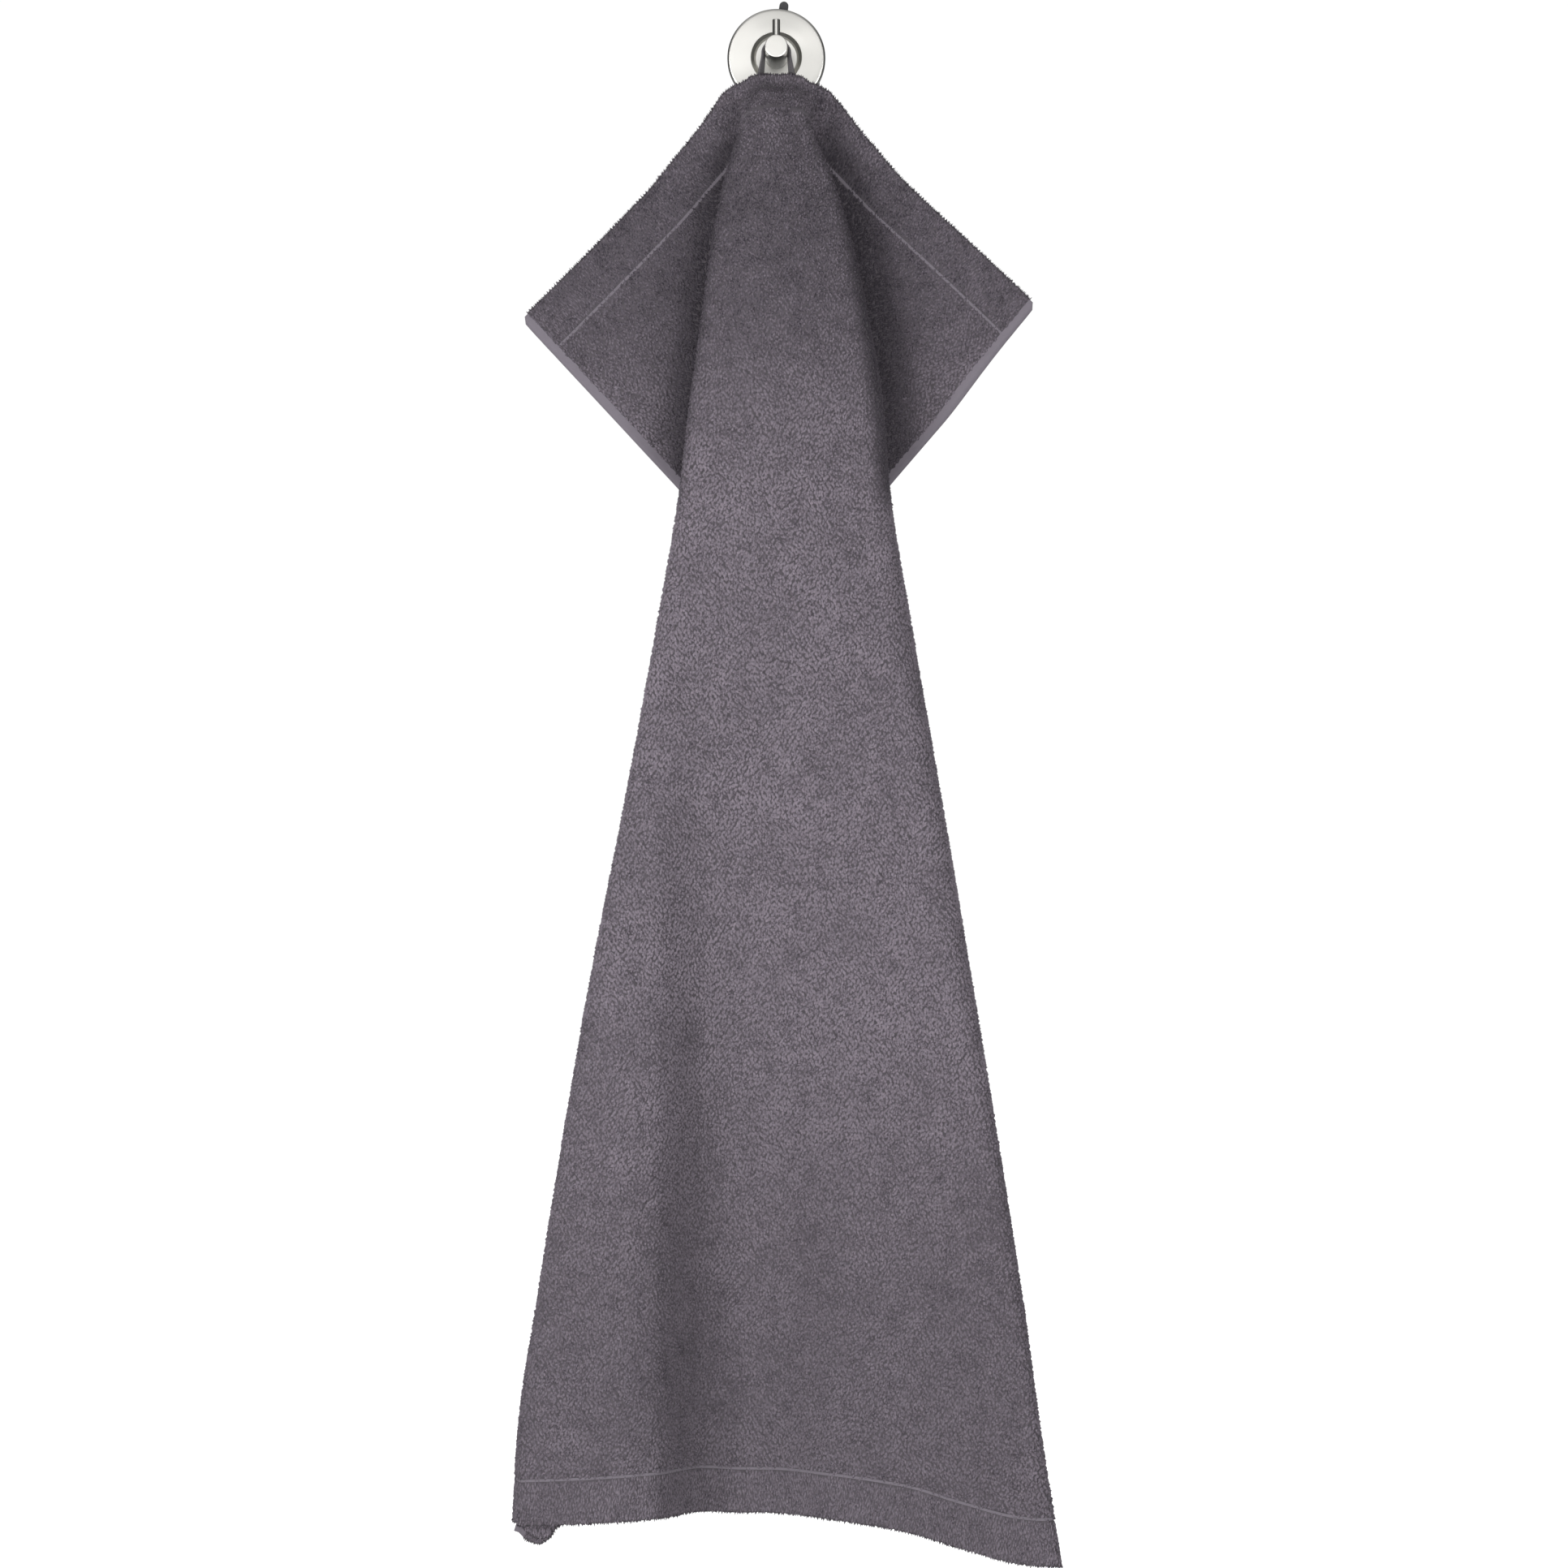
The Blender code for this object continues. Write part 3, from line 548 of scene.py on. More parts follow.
def cloth_points(u, v):
    """Places in the world, in metres, of arrays of points u across and v down the flat cloth."""
    half = TOWEL_WIDTH / 2
    u = np.clip(u, -half, half)
    v = np.clip(v, 0.0, TOWEL_LENGTH)
    read, r, share, k = fold_reader(u, v)
    across = read(FOLDS[0]) * np.where(u < 0, -1.0, 1.0)
    depth = read(FOLDS[1])
    taken = RIGHT_TAKE_UP * ease(TAKE_UP_FROM_SHARE, 1.0, share) * k
    taken *= ease(*TAKE_UP_BEGINS, r) * (1.0 - ease(*TAKE_UP_ENDS, r))
    down = np.sqrt(np.maximum(r * r - (depth - TOP_EDGE_Y) ** 2, 0.0)) - taken
    drop = smooth(HEM, "x", "drop", across) * ease(RIPPLE_START, RIPPLE_END, r)
    drop += smooth(FLAP, "x", "drop", -across) * read(FOLDS[2]) * ease(*FLAP_CURLS, r) * (1 - k)
    for number, (cell, height) in enumerate(SWELLS):
        depth = depth + height * mottle(u, v, cell, 40 + number) * ease(*SWELLS_BEGIN, r)
    turn = across / r
    z = TOP_EDGE_Z + APEX_RISE - down * np.cos(turn) - drop
    x = down * np.sin(turn)
    return np.stack((x, depth - RELIEF_DEPTH * relief_and_painted_light(x, z), z), axis=-1) * MM


def relief_and_painted_light(x, z):
    """Lift at places of the hanging cloth: above 0 where raised, with painted highlight, below where dented,
    with painted shade.
    """
    lift = np.zeros_like(x)
    for cx, cz, wide, high, most in RELIEF_AND_LIGHT_PLACES:
        lift += most * np.exp(-(((x - cx) / wide) ** 2) - ((z - cz) / high) ** 2)
    return lift


def unit(vectors):
    """Vectors at length 1."""
    return vectors / np.maximum(np.linalg.norm(vectors, axis=-1, keepdims=True), 1e-12)


def cloth_frames(u, v):
    """Place, front normal and downward direction of the cloth at arrays of points."""
    step = 0.6
    across = cloth_points(u + step, v) - cloth_points(u - step, v)
    down = unit(cloth_points(u, v + step) - cloth_points(u, v - step))
    normal = unit(np.cross(down, across))
    return cloth_points(u, v), normal, down


# Materials


def add_node(tree, kind, inputs=(), **settings):
    """A node with its settings, and its inputs as values or as sockets to link from."""
    node = tree.nodes.new(kind)
    for name, value in settings.items():
        setattr(node, name, value)
    for key, value in dict(inputs).items():
        if isinstance(value, bpy.types.NodeSocket):
            tree.links.new(value, node.inputs[key])
        else:
            node.inputs[key].default_value = value
    return node


def new_material(name, **values):
    """A material with its Principled shader set, and its tree."""
    mat = bpy.data.materials.new(name)
    mat.use_nodes = True
    tree = mat.node_tree
    shader = tree.nodes["Principled BSDF"]
    for key, value in values.items():
        shader.inputs[key.replace("_", " ")].default_value = value
    return mat, tree, shader


def math_node(tree, operation, *values):
    """Result of a Math node."""
    node = tree.nodes.new("ShaderNodeMath")
    node.operation = operation
    for k, value in enumerate(values):
        if isinstance(value, bpy.types.NodeSocket):
            tree.links.new(value, node.inputs[k])
        else:
            node.inputs[k].default_value = value
    return node.outputs[0]


def mix_colour(tree, factor, a, b):
    """Colour between a and b."""
    node = add_node(tree, "ShaderNodeMix", data_type="RGBA")
    for socket, value in ((node.inputs["Factor"], factor), (node.inputs[6], a), (node.inputs[7], b)):
        if isinstance(value, bpy.types.NodeSocket):
            tree.links.new(value, socket)
        elif isinstance(value, (int, float)):
            socket.default_value = value
        else:
            socket.default_value = (*value[:3], 1.0)
    return node.outputs[2]


def add_bump(tree, shader, height, strength, distance):
    """Bump of a height on a shader."""
    bump = add_node(tree, "ShaderNodeBump", {"Strength": strength, "Distance": distance, "Height": height})
    tree.links.new(bump.outputs[0], shader.inputs["Normal"])


def map_range(tree, value, start, end, low=0.0, high=1.0, kind="LINEAR"):
    """Value from low at start to high at end."""
    inputs = {"Value": value, "From Min": start, "From Max": end, "To Min": low, "To Max": high}
    return add_node(tree, "ShaderNodeMapRange", inputs, interpolation_type=kind).outputs[0]


def ramp(tree, value, start, end):
    """Smooth rise from 0 at start to 1 at end, both in millimetres."""
    return map_range(tree, value, start * MM, end * MM, kind="SMOOTHSTEP")


def object_place(tree):
    """Place on the object, which stands unmoved in the model's frame."""
    return add_node(tree, "ShaderNodeTexCoord").outputs["Object"]


def axes(tree, place):
    """The three coordinates of a place."""
    return add_node(tree, "ShaderNodeSeparateXYZ", {0: place}).outputs


def noise(tree, place, scale, detail=2.0, roughness=0.6):
    """Value of a noise at a place, its scale in cells to the metre."""
    inputs = {"Vector": place, "Scale": scale, "Detail": detail, "Roughness": roughness}
    return add_node(tree, "ShaderNodeTexNoise", inputs).outputs["Fac"]


def pile_material(settings):
    """Terry loops: dark at the root with painted shade, light at the tip, with a soft pile."""
    mat, tree, shader = new_material(
        "terry_pile", Roughness=1.0, Sheen_Weight=0.18, Sheen_Roughness=0.5, Specular_IOR_Level=0.15
    )
    place = object_place(tree)
    strands = add_node(tree, "ShaderNodeMapping", {"Vector": place, "Scale": GAP_SCALE}).outputs[0]
    # Painted shade in the gaps between the loops: a noise in clumps, with more of it towards the top
    more_gap_shade = math_node(tree, "MULTIPLY", ramp(tree, axes(tree, place)[2], *GAP_SHADE_TOP), GAP_SHADE_TOP_SHARE)
    clumps = math_node(tree, "SUBTRACT", noise(tree, place, CLUMP_SCALE), 0.5)
    drawn = math_node(tree, "MULTIPLY_ADD", clumps, CLUMP_SHARE, noise(tree, strands, 1.0, 3.0, 0.7))
    gaps = map_range(tree, math_node(tree, "SUBTRACT", drawn, more_gap_shade), *GAP_RANGE, *GAP_TONES)
    shade = math_node(
        tree, "MULTIPLY", gaps, add_node(tree, "ShaderNodeAttribute", attribute_name="shade").outputs["Fac"]
    )
    # Painted shade towards the loops' roots, from the shade attribute
    body = mix_colour(tree, shade, settings.root_shade_colour, settings.tip_colour)
    warm = mix_colour(tree, noise(tree, place, TINT_SCALE), COOL_TINT, WARM_TINT)
    blend = add_node(tree, "ShaderNodeMix", data_type="RGBA", blend_type="MULTIPLY")
    blend.inputs["Factor"].default_value = 1.0
    tree.links.new(body, blend.inputs[6])
    tree.links.new(warm, blend.inputs[7])
    tree.links.new(blend.outputs[2], shader.inputs["Base Color"])
    shader.inputs["Sheen Tint"].default_value = (*settings.tip_colour[:3], 1.0)
    add_bump(tree, shader, noise(tree, place, FIBRE_SCALE), 0.6, 0.0004)
    return mat


def woven_material(settings):
    """Ground weave under the pile, and the flat woven selvedges and lines, on cloth coordinates."""
    mat, tree, shader = new_material(
        "terry_ground", Roughness=0.95, Sheen_Weight=0.1, Sheen_Roughness=0.5, Specular_IOR_Level=0.15
    )
    place = add_node(tree, "ShaderNodeUVMap", uv_map="cloth").outputs[0]
    across, down = axes(tree, place)[:2]
    from_middle = math_node(tree, "ABSOLUTE", across)
    selvedge = math_node(tree, "GREATER_THAN", from_middle, (TOWEL_WIDTH / 2 - SELVEDGE_WIDTH) * MM)
    middle = TOWEL_LENGTH / 2 * MM
    off_centre = math_node(tree, "ABSOLUTE", math_node(tree, "SUBTRACT", down, middle))
    from_end = math_node(tree, "SUBTRACT", middle, off_centre)
    line_middle, line_reach = (LINE_START + LINE_END) / 2 * MM, (LINE_END - LINE_START) / 2 * MM
    line = math_node(tree, "COMPARE", from_end, line_middle, line_reach)
    reach = math_node(tree, "MULTIPLY_ADD", down, 0.5, from_middle)
    clear = map_range(tree, reach, *(edge * MM for edge in LINE_COVERED))
    line = math_node(tree, "MULTIPLY", line, clear)
    flat = math_node(tree, "MAXIMUM", selvedge, math_node(tree, "MULTIPLY", line, LINE_SHARE))
    stains = noise(tree, place, STAIN_SCALE, 4.0)
    worn = [c * 0.88 for c in settings.selvedge_colour]
    flat_colour = mix_colour(tree, stains, worn, settings.selvedge_colour)
    # Painted shade: the ground weave under the pile is darkened as if shaded by the loops
    ground = mix_colour(tree, stains, settings.root_shade_colour, [c * 0.5 for c in settings.tip_colour])
    colour = mix_colour(tree, flat, ground, flat_colour)
    tree.links.new(colour, shader.inputs["Base Color"])
    threads = [
        math_node(tree, "SINE", math_node(tree, "MULTIPLY", axis, 2 * math.pi / (pitch * MM)))
        for axis, pitch in zip((across, down), WEAVE_PITCHES)
    ]
    weave = math_node(tree, "ADD", math_node(tree, "MULTIPLY", threads[0], threads[1]), stains)
    add_bump(tree, shader, weave, 0.5, 0.00018)
    return mat


def tape_material(settings):
    """Narrow woven tape with fine ribs along it, with painted shade in the hollows between the ribs."""
    mat, tree, shader = new_material("woven_tape", Roughness=0.9, Sheen_Weight=0.15, Specular_IOR_Level=0.2)
    place = add_node(tree, "ShaderNodeUVMap", uv_map="tape").outputs[0]
    across, along = (
        math_node(tree, "MULTIPLY", axis, 2 * math.pi / (pitch * MM))
        for axis, pitch in zip(axes(tree, place)[:2], TAPE_PITCHES)
    )
    slant = math_node(tree, "ADD", along, math_node(tree, "MULTIPLY", math_node(tree, "SINE", across), 1.2))
    rib = math_node(tree, "MULTIPLY", math_node(tree, "SINE", slant), 0.5)
    height = math_node(tree, "ADD", rib, 0.5)
    # Painted shade in the hollows between the ribs
    dark = [c * 0.4 for c in settings.tape_colour]
    tree.links.new(mix_colour(tree, height, dark, settings.tape_colour), shader.inputs["Base Color"])
    add_bump(tree, shader, height, 0.6, 0.0003)
    return mat


def turned_steel(settings, name, roughness, brushing, painted_reflections=False, round_sides=(), underside=()):
    """Steel with fine turning marks round the hook's axis, with painted reflection and painted highlight on
    the cover, and painted shade on the peg's underside and painted reflection on the pin's round sides.
    """
    mat, tree, shader = new_material(name, Metallic=1.0, Roughness=roughness, Anisotropic=brushing)
    x, y, z = axes(tree, object_place(tree))
    squares = [math_node(tree, "MULTIPLY", axis, axis) for axis in (x, z)]
    radius = math_node(tree, "SQRT", math_node(tree, "ADD", *squares))
    rings = add_node(
        tree,
        "ShaderNodeTexNoise",
        {"W": math_node(tree, "MULTIPLY", radius, RING_SCALE), "Scale": 1.0, "Detail": 3.0, "Roughness": 0.7},
        noise_dimensions="1D",
    ).outputs["Fac"]
    # Darker steel for the turning marks, and for the painted reflection at the cover's top
    marked_and_shaded_steel = [c * 0.86 for c in settings.steel_colour]
    colour = mix_colour(tree, rings, marked_and_shaded_steel, settings.steel_colour)
    if painted_reflections:
        # Painted highlight: lighter sectors round the cover, like the spread of the satin steel's reflections
        turn = math_node(tree, "MULTIPLY", math_node(tree, "ARCTAN2", x, z), HIGHLIGHT_SECTOR_COUNT)
        highlight_sectors = math_node(tree, "MULTIPLY_ADD", math_node(tree, "SINE", turn), 0.5, 0.5)
        colour = mix_colour(tree, highlight_sectors, colour, [c * 1.12 for c in settings.steel_colour])
        # Painted reflection: the cover darker towards its top
        colour = mix_colour(tree, ramp(tree, z, *COVER_TOP_REFLECTION), marked_and_shaded_steel, colour)
        # Painted reflection: the recess wall dark where it looks down and sideways, light at its bottom
        wall = math_node(tree, "COMPARE", radius, WALL_RADIUS * MM, WALL_REACH * MM)
        shaded = math_node(tree, "MULTIPLY", wall, ramp(tree, z, *WALL_CLEARS))
        colour = mix_colour(tree, shaded, colour, settings.shaded_steel_colour)
        # Painted reflection: the rolled rim darker but for its top
        rim = math_node(tree, "MULTIPLY", ramp(tree, radius, *RIM_RADII), ramp(tree, z, *RIM_DARKENS))
        colour = mix_colour(tree, rim, colour, [c * 0.5 for c in settings.shaded_steel_colour])
    # Painted shade on the peg's underside and painted reflection on the pin's round sides
    dark_side = [c * 0.4 for c in settings.shaded_steel_colour]
    if round_sides:
        colour = mix_colour(tree, ramp(tree, math_node(tree, "ABSOLUTE", x), *round_sides), colour, dark_side)
    if underside:
        behind_tip = ramp(tree, y, PEG_TIP_Y + 0.5, PEG_TIP_Y + 1.0)
        below = math_node(tree, "MULTIPLY", behind_tip, ramp(tree, z, *underside))
        colour = mix_colour(tree, below, colour, dark_side)
    tree.links.new(colour, shader.inputs["Base Color"])
    tangent = add_node(tree, "ShaderNodeTangent", direction_type="RADIAL", axis="Y")
    tree.links.new(tangent.outputs[0], shader.inputs["Tangent"])
    add_bump(tree, shader, rings, 0.12, 0.00008)
    return mat


def rubber_material(settings):
    """Matte rubber with a fine grain."""
    mat, tree, shader = new_material("cup_rubber", Roughness=0.6, Specular_IOR_Level=0.3)
    grain = noise(tree, object_place(tree), RUBBER_SCALE, 3.0, 0.5)
    dark = [c * 0.7 for c in settings.rubber_colour]
    tree.links.new(mix_colour(tree, grain, dark, settings.rubber_colour), shader.inputs["Base Color"])
    add_bump(tree, shader, grain, 0.2, 0.0001)
    return mat


# Pieces


def link_piece(obj, nodes=()):
    """Puts a finished piece in the scene on the model's body and the nodes it stands for."""
    bpy.context.scene.collection.objects.link(obj)
    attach(obj, BODY)
    if nodes:
        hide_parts(*nodes)


def from_bmesh(name, bm, mat):
    """An object from a bmesh, smooth but for its sharp edges."""
    bmesh.ops.recalc_face_normals(bm, faces=bm.faces)
    mesh = bpy.data.meshes.new(name)
    bm.to_mesh(mesh)
    bm.free()
    mesh.materials.append(mat)
    mesh.shade_smooth()
    mesh.set_sharp_from_angle(angle=math.radians(35))
    return bpy.data.objects.new(name, mesh)


def lattice_lines():
    """Cloth coordinates of the columns and rows of the sheet's mesh."""
    half = TOWEL_WIDTH / 2
    inner = half - SELVEDGE_WIDTH
    side = [half, half - SELVEDGE_WIDTH / 2, inner + 0.2, inner - 0.6]
    middle = np.linspace(3.0 - inner, inner - 3.0, LATTICE_COLUMNS)
    across = np.concatenate(([-s for s in side], middle, side[::-1]))
    far_end = [TOWEL_LENGTH - v for v in END_ROWS[::-1]]
    down = np.concatenate((END_ROWS, np.linspace(37.0, TOWEL_LENGTH - 37.0, LATTICE_ROWS), far_end))
    return across, down


def sheet_thickness(u, v, settings):
    """Share of the sheet's full thickness at a cloth point: thin at the selvedges and the flat lines."""
    from_end = min(v, TOWEL_LENGTH - v)
    if TOWEL_WIDTH / 2 - abs(u) <= SELVEDGE_WIDTH or LINE_START <= from_end <= LINE_END:
        return settings.selvedge_thickness / settings.sheet_thickness
    return 1.0


def make_sheet(settings, mat):
    """The cloth itself as one closed sheet on its folds."""
    across, down = lattice_lines()
    columns_count, rows_count = len(across) - 1, len(down) - 1
    uu, vv = np.meshgrid(across, down)
    places = cloth_points(uu, vv)
    bm = bmesh.new()
    bmesh.ops.create_grid(bm, x_segments=columns_count, y_segments=rows_count, size=1.0)
    layer = bm.loops.layers.uv.new("cloth")
    weights = bm.verts.layers.deform.verify()
    spot = {}
    for vert in bm.verts:
        i = round((vert.co.x + 1) / 2 * columns_count)
        j = round((1 - vert.co.y) / 2 * rows_count)
        spot[vert] = (i, j)
        vert[weights][0] = sheet_thickness(across[i], down[j], settings)
    for vert, (i, j) in spot.items():
        vert.co = places[j, i]
    for face in bm.faces:
        for loop in face.loops:
            i, j = spot[loop.vert]
            loop[layer].uv = (across[i] * MM, down[j] * MM)
    mesh = bpy.data.meshes.new("terry_sheet")
    bm.to_mesh(mesh)
    bm.free()
    mesh.materials.append(mat)
    mesh.shade_smooth()
    obj = bpy.data.objects.new("terry_sheet", mesh)
    obj.vertex_groups.new(name="thickness")
    solid = obj.modifiers.new("thickness", "SOLIDIFY")
    solid.thickness = settings.sheet_thickness
    solid.offset = 0.0
    solid.vertex_group = "thickness"
    return obj


def tuft_points(rng, u_range, v_range, pitch):
    """Staggered and slightly scattered places for loops over part of the flat cloth."""
    count_u = int((u_range[1] - u_range[0]) / pitch[0])
    count_v = int((v_range[1] - v_range[0]) / pitch[1])
    i, j = np.meshgrid(np.arange(count_u), np.arange(count_v))
    u = u_range[0] + (i + 0.5 + 0.25 * np.where(j % 2, 1, -1)) * (u_range[1] - u_range[0]) / count_u
    v = v_range[0] + (j + 0.5 + 0.25 * np.where(i % 2, 1, -1)) * (v_range[1] - v_range[0]) / count_v
    u = u + rng.uniform(-0.42, 0.42, u.shape) * pitch[0]
    v = v + rng.uniform(-0.42, 0.42, v.shape) * pitch[1]
    inner = TOWEL_WIDTH / 2 - SELVEDGE_WIDTH
    return np.clip(u.ravel(), -inner, inner), v.ravel()


def tufts(place, up, along, size, lean):
    """Four-sided loops as arrays of vertices and triangles; sizes and leans are in millimetres."""
    beside = np.cross(up, along)
    half_along, half_beside, height = (np.asarray(s)[:, None] * MM for s in size)
    peak = place + up * height + along * lean[0][:, None] * MM + beside * lean[1][:, None] * MM
    verts = np.stack((
        place + along * half_along,
        place + beside * half_beside,
        place - along * half_along,
        place - beside * half_beside,
        peak,
    ), axis=1)
    base = np.arange(len(place))[:, None, None] * 5
    faces = base + np.array(((0, 1, 4), (1, 2, 4), (2, 3, 4), (3, 0, 4)))
    return verts.reshape(-1, 3), faces.reshape(-1, 3)


def tuft_object(name, parts, mat):
    """One joined mesh of loops, each part being vertices, triangles and a shade for each vertex."""
    verts, faces, shades = [], [], []
    start = 0
    for part_verts, part_faces, part_shades in parts:
        verts.append(part_verts)
        faces.append(part_faces + start)
        shades.append(part_shades)
        start += len(part_verts)
    verts = np.concatenate(verts)
    faces = np.concatenate(faces)
    mesh = bpy.data.meshes.new(name)
    mesh.vertices.add(len(verts))
    mesh.vertices.foreach_set("co", verts.ravel())
    mesh.loops.add(faces.size)
    mesh.loops.foreach_set("vertex_index", faces.ravel())
    mesh.polygons.add(len(faces))
    mesh.polygons.foreach_set("loop_start", np.arange(0, faces.size, 3))
    mesh.update(calc_edges=True)
    mesh.attributes.new("shade", "FLOAT", "POINT").data.foreach_set("value", np.concatenate(shades))
    mesh.materials.append(mat)
    mesh.shade_smooth()
    return bpy.data.objects.new(name, mesh)


def patches(u, v, side):
    """Lighter and darker patches where the pile lies one way or the other."""
    seed = 11 if side > 0 else 51
    wide = mottle(u, v, 62.0, seed) * 0.5 + mottle(u, v, 27.0, seed + 1) * 0.35
    fine = mottle(u, v, 11.0, seed + 2) * 0.3 + mottle(u, v, 4.5, seed + 3) * 0.25
    return wide + fine


def loops_on_cloth(rng, u, v, side, size, spread, tall, tones, settings):
    """Loops standing on one face of the cloth, side 1 for the front and -1 for the back."""
    place, normal, down = cloth_frames(u, v)
    up = normal * side
    place = place + up * settings.sheet_thickness * 0.5
    nap_and_painted_light = patches(u, v, side)
    # depth: share of light that the painted shadow beside the panel and the painted shade at the top and
    # towards the hem leave on the front's loops
    depth = np.ones(len(u))
    if side > 0:
        # Painted shade in the dents and painted highlight on the rises
        nap_and_painted_light = nap_and_painted_light + RELIEF_PAINTED_LIGHT * relief_and_painted_light(place[:, 0] / MM, place[:, 2] / MM)
        read = fold_reader(u, v)[0]
        # Painted shadow in the wing beside the panel
        depth -= PANEL_SHADOW_SHADE * read(FOLDS[3])
        z = place[:, 2] / MM
        # Painted shade: darker below the gathered top, with half of it clearing again near the top edge, and
        # darker towards the hem, where less light falls
        depth *= 1.0 - TOP_SHADE * ease(*TOP_DARKENS, z) * (1.0 - 0.5 * ease(*TOP_CLEARS, z))
        depth *= 1.0 - HEM_SHADE * ease(*HEM_DARKENS, -z)
    count = len(u)
    twist = rng.normal(0.0, spread, count) + 1.4 * spread * mottle(u, v, 15.0, 77)
    along = unit(down * np.cos(twist)[:, None] + np.cross(up, down) * np.sin(twist)[:, None])
    height = tall * settings.pile_height / MM * (1.0 + rng.normal(0.0, 0.2, count) + 0.15 * nap_and_painted_light)
    lean = (0.55 + 0.5 * nap_and_painted_light + rng.normal(0.0, 0.3, count), rng.normal(0.0, 0.22, count))
    sizes = (np.full(count, size[0]) * rng.uniform(0.85, 1.15, count), np.full(count, size[1]), height)
    verts, faces = tufts(place, up, along, sizes, lean)
    # The roots take painted shade, the tips the loops' own lighter colour
    root, tip = (base + 0.16 * nap_and_painted_light for base in tones)
    root = root * (1.0 - ROOT_SHADOW * (1.0 - depth))
    tip = (tip + rng.normal(0.0, TIP_SCATTER, count)) * (1.0 - TIP_SHADOW * (1.0 - depth))
    shades = np.repeat(np.clip(root, 0.0, 1.0)[:, None], 5, axis=1)
    shades[:, 4] = np.clip(tip, 0.0, 1.3)
    return verts, faces, shades.ravel()


def fringe(rng, v):
    """Short fuzz along a cut end of the cloth."""
    inner = TOWEL_WIDTH / 2 - SELVEDGE_WIDTH
    count = int(2 * inner / 0.62)
    u = np.linspace(-inner, inner, count) + rng.uniform(-0.2, 0.2, count)
    place, normal, down = cloth_frames(u, np.full(count, v))
    outward = down if v > 0 else -down
    layer = rng.uniform(-1.1, 1.1, count)
    place = place + normal * layer[:, None] * MM
    from_tooth = np.abs((u / TOOTH_PITCH + 0.35 * mottle(u, np.full(count, v), 6.0, 91)) % 1.0 - 0.5) * 2
    height = 0.7 + 1.5 * (1 - from_tooth) * rng.uniform(0.7, 1.3, count)
    sizes = (np.full(count, 0.7), np.full(count, 0.55), height)
    lean = (layer * 0.5 + rng.normal(0.0, 0.4, count), rng.normal(0.0, 0.45, count))
    verts, faces = tufts(place, outward, normal, sizes, lean)
    # Painted shade at the roots of the fuzz, with lighter tips
    shades = np.tile((0.3, 0.3, 0.3, 0.3, 0.75), (count, 1)) + rng.normal(0.0, 0.12, (count, 1))
    return verts, faces, np.clip(shades, 0.0, 1.2).ravel()


def pile_piece(name, seed, side, v_range, pitch, size, spread, tall, tones, settings, mat, ends=()):
    """Joined loops over a band of the cloth, with the fuzz of the cut ends that it reaches."""
    rng = np.random.default_rng(seed)
    inner = TOWEL_WIDTH / 2 - SELVEDGE_WIDTH
    parts = []
    for one_side in side:
        u, v = tuft_points(rng, (-inner, inner), v_range, pitch)
        parts.append(loops_on_cloth(rng, u, v, one_side, size, spread, tall, tones, settings))
    parts += [fringe(rng, v) for v in ends]
    return tuft_object(name, parts, mat)


def tape_path():
    """Centre line of the tape with the direction of its width, from the left sewn end to the right one."""
    wrap = PEG_RADIUS + GAP + TAPE_THICKNESS / 2 + 0.1
    v = SEWN_LENGTH * np.linspace(1.0, 0.0, SEWN_POINTS) + 0.4
    u = np.full(SEWN_POINTS, -STRAND_X)
    here, normal, _ = cloth_frames(u, v)
    beside = unit(cloth_points(u + 1.0, v) - cloth_points(u - 1.0, v))
    strand = []
    for k, (p, n, w) in enumerate(zip(here, normal, beside)):
        turned_by = FOOT_TURN * k / (len(v) - 1)
        across = Vector(w) * math.cos(turned_by) + Vector((0, 1, 0)) * math.sin(turned_by)
        strand.append((Vector(p) / MM - Vector(n) * SEWN_LIFT, across))
    foot = strand[-1][0]
    lead = (foot - strand[-2][0]).normalized()
    top = Vector((-wrap, LOOP_Y, 0.0))
    length = (top - foot).length
    for k in range(1, STRAND_STEPS + 1):
        t = k / STRAND_STEPS
        h00, h10 = 2 * t ** 3 - 3 * t ** 2 + 1, t ** 3 - 2 * t ** 2 + t
        h01, h11 = 3 * t ** 2 - 2 * t ** 3, t ** 3 - t ** 2
        place = foot * h00 + lead * length * h10 + top * h01 + Vector((0, 0, 1)) * length * h11
        angle = FOOT_TURN + float(ease(0.0, 1.0, t)) * (PEG_TURN - FOOT_TURN)
        strand.append((place, Vector((math.cos(angle), math.sin(angle), 0.0))))
    for k in range(1, WRAP_STEPS + 1):
        angle = math.pi - math.pi / 2 * k / WRAP_STEPS
        flat = PEG_TURN + float(ease(0.0, WRAP_STEPS / 2, k)) * (math.pi / 2 - PEG_TURN)
        place = Vector((wrap * math.cos(angle), LOOP_Y, wrap * math.sin(angle)))
        strand.append((place, Vector((math.cos(flat), math.sin(flat), 0.0))))
    mirrored = [(Vector((-p.x, p.y, p.z)), Vector((-w.x, w.y, w.z))) for p, w in strand[-2::-1]]
    return strand + mirrored


